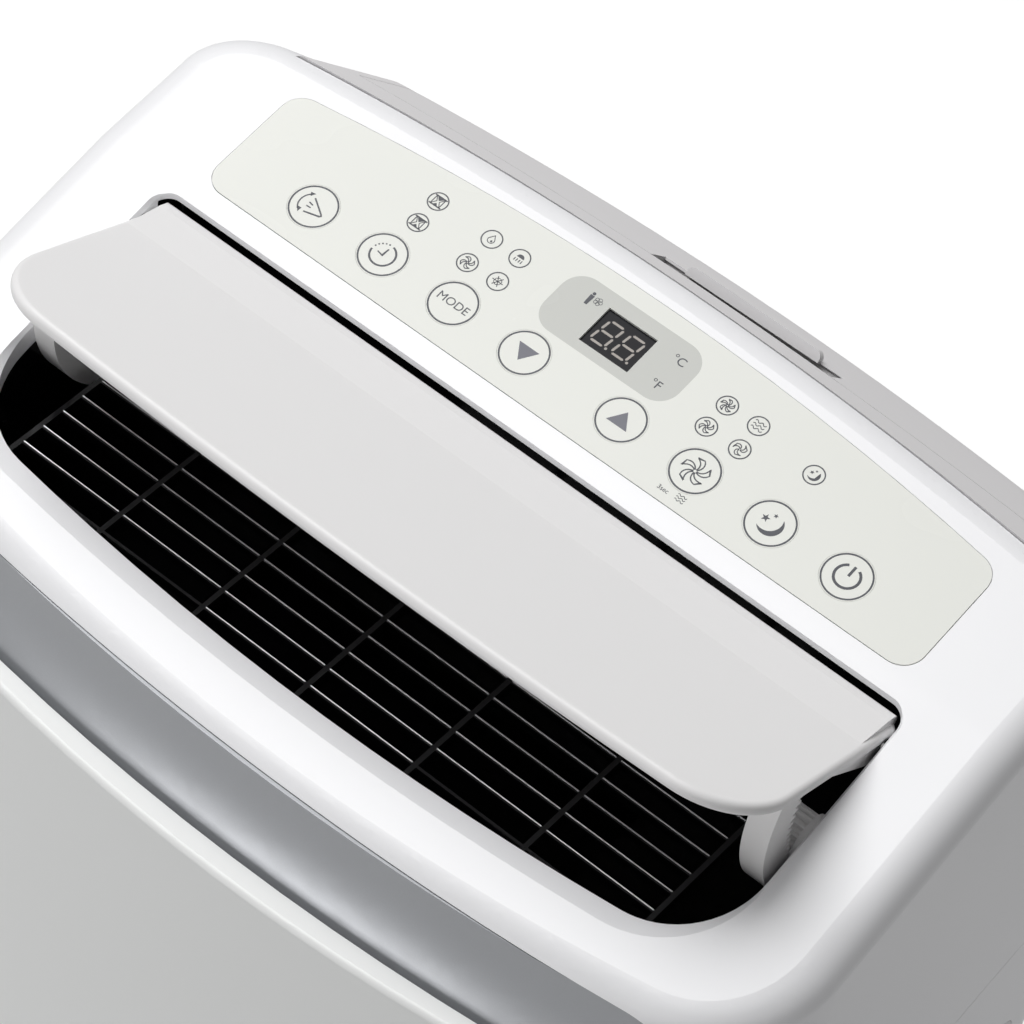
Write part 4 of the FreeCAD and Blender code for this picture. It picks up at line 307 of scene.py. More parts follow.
# The flap, its arms and the drive parts take the greyer white, which carries painted shade.
NODE_FINISHES = {
    "flap": SHADED_WHITE_FLAP, "flap_sector_arm": SHADED_WHITE_FLAP, "flap_guide_arm": SHADED_WHITE_FLAP,
    "drive_cover": SHADED_WHITE_FLAP, "drive_pinion": SHADED_WHITE_FLAP, "filter_mesh": FILTER_WEAVE,
}


def dress_nodes(frame: dict) -> None:
    """Give each carried-over node the finish of its slot, or its own.
    """
    slots = {row["node"]: row["material_slot"] for row in frame["record"]["subparts"]}
    for name, node in frame["nodes"].items():
        finish = NODE_FINISHES.get(name, SLOT_FINISHES[slots[name]])
        node.data.materials.clear()
        node.data.materials.append(finish.material())


# ---------------------------------------------------------------- pieces
def piece(name: str, mesh: bpy.types.Mesh, finish: Finish, body: str,
          smooth: bool = False) -> bpy.types.Object:
    """Put a finished mesh in the scene and let it ride on a body.

    Args:
        name: the piece's name.
        mesh: mesh with its place in its vertices.
        finish: surface finish.
        body: body that carries it.
        smooth: whether its faces are shaded smooth.

    Returns:
        The new object.
    """
    made = bpy.data.objects.new(name, mesh)
    bpy.context.scene.collection.objects.link(made)
    mesh.materials.clear()
    mesh.materials.append(finish.material())
    for face in mesh.polygons:
        face.use_smooth = smooth
    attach(made, body)
    LOG.info("%s: %d faces on %s", name, len(mesh.polygons), body)
    return made


def mesh_from(name: str, work: bmesh.types.BMesh) -> bpy.types.Mesh:
    """Turn a bmesh into a mesh with its faces pointing outwards.

    Args:
        name: mesh name.
        work: the bmesh, which is freed.

    Returns:
        The mesh.
    """
    bmesh.ops.recalc_face_normals(work, faces=work.faces)
    mesh = bpy.data.meshes.new(name)
    work.to_mesh(mesh)
    work.free()
    return mesh


@dataclass(frozen=True)
class Plane:
    """A tilted plane: an origin with directions to the right, back and out."""

    origin: Vector
    back: Vector
    out: Vector
    right: Vector = field(default_factory=lambda: Vector((1, 0, 0)))

    def place(self, u: float, v: float, height: float = 0.0) -> Vector:
        """Point at u to the right, v to the back and a height out, all in metres."""
        return self.origin + self.right * u + self.back * v + self.out * height


def arc(centre: Point, radius: float, start: float, end: float, steps: int = 24) -> Outline:
    """Points along a circle's arc.

    Args:
        centre: the circle's centre.
        radius: its radius.
        start: first angle in degrees, anticlockwise from the right.
        end: last angle in degrees.
        steps: number of stretches.

    Returns:
        The points in order.
    """
    angles = [math.radians(start + (end - start) * i / steps) for i in range(steps + 1)]
    return [(centre[0] + radius * math.cos(a), centre[1] + radius * math.sin(a))
            for a in angles]


class Print:
    """Flat printed marks in millimetres about a centre: u to the right, v to the back."""

    def __init__(self, centre: Point = (0.0, 0.0), scale: float = 1.0) -> None:
        """Start with no marks.

        Args:
            centre: place of the marks' origin.
            scale: factor on everything that is added.
        """
        self.centre = centre
        self.scale = scale
        self.shapes: list[Outline] = []

    def fill(self, outline: Outline) -> "Print":
        """Add a filled outline.

        Args:
            outline: its corners in order.

        Returns:
            The print itself.
        """
        self.shapes.append([(self.centre[0] + self.scale * u, self.centre[1] + self.scale * v)
                            for u, v in outline])
        return self

    def dot(self, centre: Point, radius: float) -> "Print":
        """Add a filled circle."""
        return self.fill(arc(centre, radius, 0, 360, 16)[:-1])

    def stroke(self, points: Outline, width: float, closed: bool = False) -> "Print":
        """Add a line of even width through points.

        Args:
            points: corners or close-set points of the line.
            width: line width.
            closed: whether the line returns to its start.

        Returns:
            The print itself.
        """
        count = len(points)
        sides = []
        for i, (u, v) in enumerate(points):
            before = points[i - 1] if i or closed else points[i]
            after = points[(i + 1) % count] if i + 1 < count or closed else points[i]
            along = Vector((after[0] - before[0], after[1] - before[1])).normalized()
            across = Vector((-along.y, along.x)) * width / 2
            if 0 < i < count - 1 or closed:
                into = Vector((u - before[0], v - before[1])).normalized()
                across /= max(0.5, abs(into.dot(along)))
            sides.append(((u + across.x, v + across.y), (u - across.x, v - across.y)))
        last = count if closed else count - 1
        for i in range(last):
            first, second = sides[i], sides[(i + 1) % count]
            self.fill([first[0], second[0], second[1], first[1]])
        return self

    def ring(self, centre: Point, radius: float, width: float) -> "Print":
        """Add a circle line."""
        return self.stroke(arc(centre, radius, 0, 360, 64)[:-1], width, closed=True)

    def mesh(self, name: str, plane: Plane, thickness: float) -> bpy.types.Mesh:
        """Closed thin mesh of all the marks, lying on a plane.

        Args:
            name: mesh name.
            plane: plane that the marks lie on.
            thickness: height of the ink.

        Returns:
            The mesh.
        """
        work = bmesh.new()
        for shape in self.shapes:
            low = [work.verts.new(plane.place(u * MM, v * MM)) for u, v in shape]
            high = [work.verts.new(plane.place(u * MM, v * MM, thickness)) for u, v in shape]
            work.faces.new(list(reversed(low)))
            work.faces.new(high)
            for i in range(len(shape)):
                j = (i + 1) % len(shape)
                work.faces.new([low[i], low[j], high[j], high[i]])
        bmesh.ops.triangulate(work, faces=[f for f in work.faces if len(f.verts) > 4])
        return mesh_from(name, work)


def fan_blades(marks: Print, blades: int, radius: float, width: float) -> None:
    """Add the outline of a fan with curved blades.

    Args:
        marks: print that gets the fan.
        blades: number of blades.
        radius: blade length.
        width: line width.
    """
    spread = 2 * math.pi / blades
    for i in range(blades):
        shares = [0.14 + 0.86 * t / 6 for t in range(7)]
        edges = [(r, (i + 0.62 * r ** 1.5) * spread) for r in shares]
        edges += [(r, (i - 0.30 + 0.52 * r ** 2) * spread) for r in reversed(shares)]
        marks.stroke([(radius * r * math.cos(a), radius * r * math.sin(a)) for r, a in edges],
                     width, closed=True)


def swing_icon(marks: Print) -> None:
    """Louver wedge with a turning arrow.

    Args:
        marks: print that gets it.
    """
    marks.stroke([(-2.2, 3.6), (5.0, -1.1), (5.5, -1.7), (5.0, -2.3), (-1.8, -4.2)], 0.7)
    marks.stroke(arc((-0.7, -0.2), 5.8, 132, 228, 12), 0.6)
    marks.fill([(-5.6, 4.9), (-3.2, 5.3), (-4.4, 3.2)])
    marks.fill([(-5.5, -3.6), (-3.6, -5.8), (-3.4, -3.4)])
    marks.stroke([(-2.8, 0.7), (-0.6, 0.3)], 0.6)
    marks.stroke([(-2.7, -1.3), (-0.5, -1.2)], 0.6)


def timer_icon(marks: Print) -> None:
    """Clock face with a dotted top and two hands.

    Args:
        marks: print that gets it.
    """
    marks.stroke(arc((0, 0), 5.4, 182, 438), 0.85)
    for angle in (98, 114, 130, 146, 162):
        marks.dot((5.4 * math.cos(math.radians(angle)), 5.4 * math.sin(math.radians(angle))), 0.38)
    marks.stroke([(-2.8, 0.2), (0, -0.4), (0.3, 3.5)], 0.6)


def down_icon(marks: Print) -> None:
    """Triangle that points to the front."""
    marks.fill([(-5.0, 3.3), (0, -4.2), (5.0, 3.3)])


def up_icon(marks: Print) -> None:
    """Triangle that points to the back."""
    marks.fill([(-5.0, -3.1), (5.0, -3.1), (0, 4.4)])


def star(marks: Print, centre: Point, radius: float) -> None:
    """Five-pointed star.

    Args:
        marks: print that gets it.
        centre: the star's centre.
        radius: reach of its points.
    """
    marks.fill([(centre[0] + r * math.cos(math.radians(90 + 36 * i)),
                 centre[1] + r * math.sin(math.radians(90 + 36 * i)))
                for i, r in enumerate([radius, 0.42 * radius] * 5)])


def sleep_icon(marks: Print) -> None:
    """Crescent moon with two stars.

    Args:
        marks: print that gets it.
    """
    outer = arc((0.2, -0.2), 5.4, -140, 50, 24)
    inner = arc((-1.5, 1.5), 5.5, 28, -118, 24)
    marks.fill(outer + inner)
    star(marks, (-3.0, 0.9), 1.9)
    star(marks, (-0.3, 3.9), 1.1)


def power_icon(marks: Print) -> None:
    """Broken ring with a bar."""
    marks.stroke(arc((0, 0), 5.2, 118, 422), 1.15)
    marks.stroke([(0.2, 0.4), (0.2, 5.4)], 1.15)


def key_fan_icon(marks: Print) -> None:
    """Five-bladed fan."""
    fan_blades(marks, 5, 6.0, 0.55)


def hourglass_icon(marks: Print) -> None:
    """Hourglass between two bars.

    Args:
        marks: print that gets it.
    """
    for v in (2.3, -2.3):
        marks.stroke([(-3.0, v), (3.0, v)], 0.6)
    for u in (-2.2, 2.2):
        marks.stroke([(u, 2.3), (u, -2.3)], 0.4)
        marks.stroke([(u, 2.3), (0.3 * u, 0), (u, -2.3)], 0.35)
    marks.fill([(-1.9, 2.3), (1.9, 2.3), (0, 0.3)])
    marks.fill([(-1.2, -2.2), (1.2, -2.2), (0, -0.9)])


def drop_icon(marks: Print) -> None:
    """Drop outline."""
    marks.stroke(arc((0, -0.5), 1.5, 150, 390, 14) + [(0, 2.2)], 0.35, closed=True)
    marks.dot((0.4, -0.9), 0.5)


def sun_icon(marks: Print) -> None:
    """Half sun over a line of rays.

    Args:
        marks: print that gets it.
    """
    marks.fill(arc((0, 0.2), 1.7, 0, 180, 12))
    for u in (-1.7, -0.6, 0.6, 1.7):
        marks.stroke([(u, -0.5), (u, -2.0)], 0.4)


def snow_icon(marks: Print) -> None:
    """Six-armed snowflake.

    Args:
        marks: print that gets it.
    """
    for i in range(3):
        c, s = math.cos(math.pi * i / 3), math.sin(math.pi * i / 3)
        marks.stroke([(-2.6 * c, -2.6 * s), (2.6 * c, 2.6 * s)], 0.35)
        for side in (-1, 1):
            marks.stroke([(side * 1.5 * c - 0.8 * s, side * 1.5 * s + 0.8 * c),
                          (side * 1.5 * c + 0.8 * s, side * 1.5 * s - 0.8 * c)], 0.3)


def wave_icon(marks: Print) -> None:
    """Three wavy lines of moving air."""
    for v in (-1.6, 0.0, 1.6):
        marks.stroke([(-2.6 + 0.52 * i, v + 0.5 * math.sin(1.3 * i)) for i in range(11)], 0.35)


def moon_icon(marks: Print) -> None:
    """Small crescent with a star.

    Args:
        marks: print that gets it.
    """
    marks.fill(arc((0.1, -0.1), 2.6, -140, 50, 16) + arc((-0.75, 0.75), 2.65, 28, -118, 16))
    star(marks, (-1.3, 0.5), 0.95)
    star(marks, (-0.1, 1.9), 0.6)


def fan_icon(blades: int) -> Callable[[Print], None]:
    """Drawing of a small fan.

    Args:
        blades: number of blades.

    Returns:
        The function that draws it.
    """
    return lambda marks: fan_blades(marks, blades, 2.9, 0.42)


KEY_ICONS = {"key_swing": swing_icon, "key_timer": timer_icon, "key_mode": None,
             "key_down": down_icon, "key_up": up_icon, "key_fan": key_fan_icon,
             "key_sleep": sleep_icon, "key_power": power_icon}
SMALL_ICONS = [((-97.6, 33.5), hourglass_icon), ((-97.1, 20.6), hourglass_icon),
               ((-69.1, 33.1), drop_icon), ((-54.6, 33.1), sun_icon),
               ((-69.3, 18.4), fan_icon(4)), ((-54.2, 19.1), snow_icon),
               ((51.9, 31.2), fan_icon(5)), ((67.0, 31.5), wave_icon),
               ((51.7, 18.5), fan_icon(4)), ((68.0, 18.6), fan_icon(3)),
               ((97.1, 27.6), moon_icon)]

# Words printed on the film: piece name, letters, letter size and centre, in millimetres.
FILM_WORDS = [("celsius_mark", "°C", 5.6, (24.6, 35.4)),
              ("fahrenheit_mark", "°F", 5.6, (24.4, 21.2)),
              ("long_press_mark", "3sec", 2.9, (56.6, -14.0))]
LONG_PRESS_WAVE = (64.5, -13.2)
LONG_PRESS_SCALE = 0.8
FIGURE_PLACE = (-21.0, 36.2)


@dataclass
class ControlDeck:
    """Printed film, keys, badge and digits of the sloping control deck."""

    slope: float = 11.0
    front_reach: float = 19.0 * MM
    back_reach: float = 52.2 * MM
    ring_radius_mm: float = 10.0
    ring_line_mm: float = 0.74
    small_ring_mm: float = 4.3
    small_line_mm: float = 0.55
    word_size_mm: float = 5.4
    ink: float = 0.05 * MM
    badge_ink: float = 0.02 * MM
    badge_half_mm: float = 34.0
    badge_front_mm: float = 13.8
    badge_back_mm: float = 44.4
    badge_corner_mm: float = 10.0
    digit_height_mm: float = 11.5
    digit_width_mm: float = 7.0
    digit_slant: float = 0.14
    digit_places_mm: tuple[float, float] = (-5.6, 5.0)
    digit_middle_mm: float = 28.0
    segment_mm: float = 1.05
    segment_gap_mm: float = 0.55
    point_mm: float = 0.62
    point_offset_mm: float = 1.2
    window_front_mm: float = 18.4
    window_back_mm: float = 37.6

    def __post_init__(self) -> None:
        """Find the deck's plane from the film's box."""
        low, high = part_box("control_overlay")
        tilt = math.radians(self.slope)
        back = Vector((0, math.cos(tilt), math.sin(tilt)))
        out = Vector((0, -math.sin(tilt), math.cos(tilt)))
        origin = Vector((0, low.y + self.front_reach * math.cos(tilt),
                         high.z - self.back_reach * math.sin(tilt)))
        self.plane = Plane(origin, back, out)

    def build(self) -> None:
        """Make every printed piece."""
        self._badge()
        self._keys()
        self._film_marks()
        self._units()
        self._digits()

    def _raised(self, height: float) -> Plane:
        """The deck's plane moved out by a height."""
        return Plane(self.plane.place(0, 0, height), self.plane.back, self.plane.out)

    def _key_centre(self, name: str) -> Point:
        """Centre of a key on the deck, in millimetres."""
        low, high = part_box(name)
        return (low.x + high.x) / 2 / MM, 0.0

    def _keys(self) -> None:
        """Ring and icon of each key, on the key's own body."""
        for name, icon in KEY_ICONS.items():
            centre = self._key_centre(name)
            body = f"{name}_body"
            marks = Print(centre).ring((0, 0), self.ring_radius_mm, self.ring_line_mm)
            filled = icon in (down_icon, up_icon)
            if icon and not filled:
                icon(marks)
            plane = self._raised(0)
            piece(f"{name}_print", marks.mesh(f"{name}_print", plane, self.ink), DECK_INK, body)
            if filled:
                arrow = Print(centre)
                icon(arrow)
                piece(f"{name}_arrow", arrow.mesh(f"{name}_arrow", plane, self.ink), ARROW_INK,
                      body)
        self._text("mode_word", "MODE", self.word_size_mm, self._key_centre("key_mode"),
                   "key_mode_body")

    def _film_marks(self) -> None:
        """Small rings with their icons, the person mark and the long-press mark."""
        marks = Print()
        for centre, icon in SMALL_ICONS:
            marks.ring(centre, self.small_ring_mm, self.small_line_mm)
            small = Print(centre)
            icon(small)
            marks.shapes += small.shapes
        wave = Print(LONG_PRESS_WAVE, LONG_PRESS_SCALE)
        wave_icon(wave)
        marks.shapes += wave.shapes
        self._person(marks)
        piece("deck_icons", marks.mesh("deck_icons", self._raised(self.badge_ink), self.ink),
              DECK_INK, ROOT)

    def _person(self, marks: Print) -> None:
        """Standing figure in a stream of air.

        Args:
            marks: print that gets it.
        """
        figure = Print(FIGURE_PLACE)
        figure.dot((0, 2.6), 0.75)
        figure.fill([(-1.0, 1.7), (1.0, 1.7), (0.9, -0.6), (0.7, -3.3), (-0.7, -3.3),
                     (-0.9, -0.6)])
        for angle in range(0, 360, 72):
            turn = math.radians(angle)
            figure.stroke(arc((3.6 + 1.1 * math.cos(turn), 0.6 + 1.1 * math.sin(turn)), 0.8,
                              0, 360, 10)[:-1], 0.22, closed=True)
        marks.shapes += figure.shapes

    def _units(self) -> None:
        """Degree signs and letters beside the digits, and the long-press time."""
        for name, words, size_mm, centre in FILM_WORDS:
            self._text(name, words, size_mm, centre, ROOT)

    def _text(self, name: str, words: str, size_mm: float, centre: Point, body: str) -> None:
        """Printed letters, centred on a place of the deck.

        Args:
            name: piece name.
            words: the letters.
            size_mm: font size.
            centre: middle of the letters on the deck.
            body: body that carries them.
        """
        curve = bpy.data.curves.new(name, "FONT")
        curve.body = words
        curve.size = size_mm * MM
        curve.align_x = "CENTER"
        curve.align_y = "CENTER"
        curve.extrude = self.ink / 2
        holder = bpy.data.objects.new(name + "_curve", curve)
        bpy.context.scene.collection.objects.link(holder)
        graph = bpy.context.evaluated_depsgraph_get()
        mesh = bpy.data.meshes.new_from_object(holder.evaluated_get(graph))
        bpy.data.objects.remove(holder)
        bpy.data.curves.remove(curve)
        lift = self.badge_ink + self.ink / 2
        for vertex in mesh.vertices:
            u, v, h = vertex.co
            vertex.co = self.plane.place(centre[0] * MM + u, centre[1] * MM + v, lift + h)
        mesh.name = name
        piece(name, mesh, DECK_INK, body)

    def _badge(self) -> None:
        """Grey patch round the display window, printed on the film."""
        low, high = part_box("display_module")
        half = (high.x - low.x) / 2 / MM
        corners = []
        r = self.badge_corner_mm
        for u, v, start in ((1, 1, 0), (-1, 1, 90), (-1, -1, 180), (1, -1, 270)):
            edge = self.badge_back_mm if v > 0 else self.badge_front_mm
            corners += arc((u * (self.badge_half_mm - r), edge - v * r), r, start, start + 90, 10)
        window = [(half, self.window_back_mm), (-half, self.window_back_mm),
                  (-half, self.window_front_mm), (half, self.window_front_mm)]
        work = bmesh.new()
        loops = []
        for height in (0.0, self.badge_ink):
            for outline in (corners, window):
                loops.append([work.verts.new(self.plane.place(u * MM, v * MM, height))
                              for u, v in outline])
        for outer, inner in ((loops[0], loops[1]), (loops[2], loops[3])):
            quarter = len(outer) // 4
            for q in range(4):
                stretch = outer[q * quarter:(q + 1) * quarter]
                for a, b in zip(stretch, stretch[1:]):
                    work.faces.new([a, b, inner[q]])
                work.faces.new([stretch[-1], outer[(q + 1) * quarter % len(outer)],
                                inner[(q + 1) % 4], inner[q]])
        for low_loop, high_loop in ((loops[0], loops[2]), (loops[1], loops[3])):
            for i in range(len(low_loop)):
                j = (i + 1) % len(low_loop)
                work.faces.new([low_loop[i], low_loop[j], high_loop[j], high_loop[i]])
        piece("display_badge", mesh_from("display_badge", work), BADGE_FILM, ROOT)

    def _digits(self) -> None:
        """Two seven-segment digits with their points, in the display's face."""
        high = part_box("display_module")[1]
        tilt = math.radians(self.slope)
        middle_v = self.digit_middle_mm
        top = (high.z - self.plane.place(0, self.window_back_mm * MM).z) / math.cos(tilt)
        marks = Print()
        w, h = self.digit_width_mm / 2, self.digit_height_mm / 2
        gap = self.segment_gap_mm
        for left in self.digit_places_mm:
            for (u0, v0), (u1, v1) in (((-w, h), (w, h)), ((-w, 0), (w, 0)), ((-w, -h), (w, -h)),
                                       ((-w, 0), (-w, h)), ((w, 0), (w, h)),
                                       ((-w, -h), (-w, 0)), ((w, -h), (w, 0))):
                along = Vector((u1 - u0, v1 - v0)).normalized()
                start = Vector((u0, v0)) + along * gap
                end = Vector((u1, v1)) - along * gap
                self._segment(marks, left, middle_v, start, end)
            marks.dot((left + w + self.point_offset_mm - h * self.digit_slant, middle_v - h),
                      self.point_mm)
        face = self._raised(top)
        piece("display_digits", marks.mesh("display_digits", face, self.badge_ink),
              SEGMENT_RESIN, ROOT)

    def _segment(self, marks: Print, left: float, middle: float, start: Vector,
                 end: Vector) -> None:
        """One pointed segment of a digit.

        Args:
            marks: print that gets it.
            left: the digit's middle along u.
            middle: the digit's middle along v.
            start: one end about the digit's middle.
            end: the other end.
        """
        along = (end - start).normalized() * self.segment_mm / 2
        across = Vector((-along.y, along.x))
        outline = [start, start + along + across, end - along + across, end,
                   end - along - across, start + along - across]
        marks.fill([(left + p.x + p.y * self.digit_slant, middle + p.y) for p in outline])


# ---------------------------------------------------------------- repeats
def geometry_tree(name: str, inputs: dict[str, str]) -> tuple[
        bpy.types.NodeTree, bpy.types.Node, bpy.types.Node]:
    """Empty geometry tree with named inputs.

    Args:
        name: tree name.
        inputs: socket type by input name.

    Returns:
        The tree, its input node and its output node.
    """
    tree = bpy.data.node_groups.new(name, "GeometryNodeTree")
    tree.interface.new_socket(name="Geometry", in_out="OUTPUT",
                              socket_type="NodeSocketGeometry")
    for label, kind in inputs.items():
        tree.interface.new_socket(name=label, in_out="INPUT", socket_type=kind)
    return tree, add(tree, "NodeGroupInput"), add(tree, "NodeGroupOutput")


def grown_mesh(name: str, tree: bpy.types.NodeTree, values: dict) -> bpy.types.Mesh:
    """Plain mesh that a geometry tree makes.

    Args:
        name: mesh name.
        tree: the geometry tree.
        values: value by input name.

    Returns:
        The realised mesh.
    """
    holder = bpy.data.objects.new(name, bpy.data.meshes.new(name))
    bpy.context.scene.collection.objects.link(holder)
    modifier = holder.modifiers.new(name, "NODES")
    modifier.node_group = tree
    for socket in tree.interface.items_tree:
        if socket.item_type == "SOCKET" and socket.in_out == "INPUT":
            modifier[socket.identifier] = values[socket.name]
    holder.data.update()
    graph = bpy.context.evaluated_depsgraph_get()
    mesh = bpy.data.meshes.new_from_object(holder.evaluated_get(graph))
    bpy.data.objects.remove(holder)
    mesh.name = name
    return mesh


@dataclass
class OutletGrille:
    """Light grey metal wires on the black grille between its ribs: a painted glint standing in for
    the highlights along the black wires, with the metal's own reflection.
    """

    ribs: int = 7
    rib_pitch: float = 53.5 * MM
    wire_pitch: float = 11.1 * MM
    first_wire: float = 7.7 * MM
    radius: float = 0.38 * MM
    rib_gap: float = 2.6 * MM
    front_bow: float = 1.36
    edge_room: float = 4.0 * MM

    def build(self) -> None:
        """Grow the wires and let them ride on the casing."""
        low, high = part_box("discharge_grille")
        front, back = low.y, high.y
        rows = int((back - front - self.first_wire) / self.wire_pitch)
        tree = self._tree()
        values = {"Bays": self.ribs - 1, "Rows": rows, "Rib pitch": self.rib_pitch,
                  "Wire pitch": self.wire_pitch, "Length": self.rib_pitch - self.rib_gap,
                  "Radius": self.radius, "Front": front + self.first_wire,
                  "Height": high.z + self.radius / 2, "Bow": 2 * self.front_bow,
                  "Edge": front + self.edge_room}
        piece("grille_wires", grown_mesh("grille_wires", tree, values), GLINT_WIRE, ROOT,
              smooth=True)

    def _tree(self) -> bpy.types.NodeTree:
        """Geometry tree: one tube for each bay and row that clears the bowed front.

        Returns:
            The tree.
        """
        number, whole = "NodeSocketFloat", "NodeSocketInt"
        tree, given, result = geometry_tree("guard_wire_glints", {
            "Bays": whole, "Rows": whole, "Rib pitch": number, "Wire pitch": number,
            "Length": number, "Radius": number, "Front": number, "Height": number,
            "Bow": number, "Edge": number})

        def math_node(operation: str, first: object, second: object) -> bpy.types.NodeSocket:
            """Socket of one sum or product.

            Args:
                operation: Blender's name of the operation.
                first: a socket or a number.
                second: a socket or a number.

            Returns:
                The result's socket.
            """
            pair = {0: first, 1: second}
            return add(tree, "ShaderNodeMath",
                       {"operation": operation,
                        **{k: v for k, v in pair.items() if isinstance(v, (int, float))}},
                       {k: v for k, v in pair.items()
                        if not isinstance(v, (int, float))}).outputs[0]

        value = given.outputs
        width = math_node("MULTIPLY", math_node("SUBTRACT", value["Bays"], 1.0),
                          value["Rib pitch"])
        depth = math_node("MULTIPLY", math_node("SUBTRACT", value["Rows"], 1.0),
                          value["Wire pitch"])
        grid = add(tree, "GeometryNodeMeshGrid", None,
                   {"Size X": width, "Size Y": depth, "Vertices X": value["Bays"],
                    "Vertices Y": value["Rows"]})
        middle = math_node("ADD", value["Front"], math_node("MULTIPLY", depth, 0.5))
        shift = add(tree, "ShaderNodeCombineXYZ", None, {"Y": middle, "Z": value["Height"]})
        placed = add(tree, "GeometryNodeTransform", None,
                     {"Geometry": grid.outputs["Mesh"], "Translation": shift.outputs[0]})
        spot = add(tree, "ShaderNodeSeparateXYZ", None,
                   {0: add(tree, "GeometryNodeInputPosition").outputs[0]})
        outer_end = math_node("ADD", math_node("ABSOLUTE", spot.outputs["X"], 0.0),
                              math_node("MULTIPLY", value["Length"], 0.5))
        sag = math_node("DIVIDE", math_node("MULTIPLY", outer_end, outer_end), value["Bow"])
        edge = math_node("ADD", sag, value["Edge"])
        hidden = add(tree, "FunctionNodeCompare", {"operation": "LESS_THAN"},
                     {0: spot.outputs["Y"], 1: edge})
        kept = add(tree, "GeometryNodeDeleteGeometry", None,
                   {"Geometry": placed.outputs[0], "Selection": hidden.outputs[0]})
        half = math_node("MULTIPLY", value["Length"], 0.5)
        start = add(tree, "ShaderNodeCombineXYZ", None,
                    {"X": math_node("MULTIPLY", half, -1.0)})
        end = add(tree, "ShaderNodeCombineXYZ", None, {"X": half})
        line = add(tree, "GeometryNodeCurvePrimitiveLine", None,
                   {"Start": start.outputs[0], "End": end.outputs[0]})
        circle = add(tree, "GeometryNodeCurvePrimitiveCircle", {"Resolution": 10},
                     {"Radius": value["Radius"]})
        tube = add(tree, "GeometryNodeCurveToMesh", {"Fill Caps": True},
                   {"Curve": line.outputs[0], "Profile Curve": circle.outputs[0]})
        copies = add(tree, "GeometryNodeInstanceOnPoints", None,
                     {"Points": kept.outputs[0], "Instance": tube.outputs[0]})
        solid = add(tree, "GeometryNodeRealizeInstances", None, {0: copies.outputs[0]})
        dressed = add(tree, "GeometryNodeSetMaterial", {"Material": GLINT_WIRE.material()},
                      {"Geometry": solid.outputs[0]})
        tree.links.new(dressed.outputs[0], result.inputs[0])
        return tree


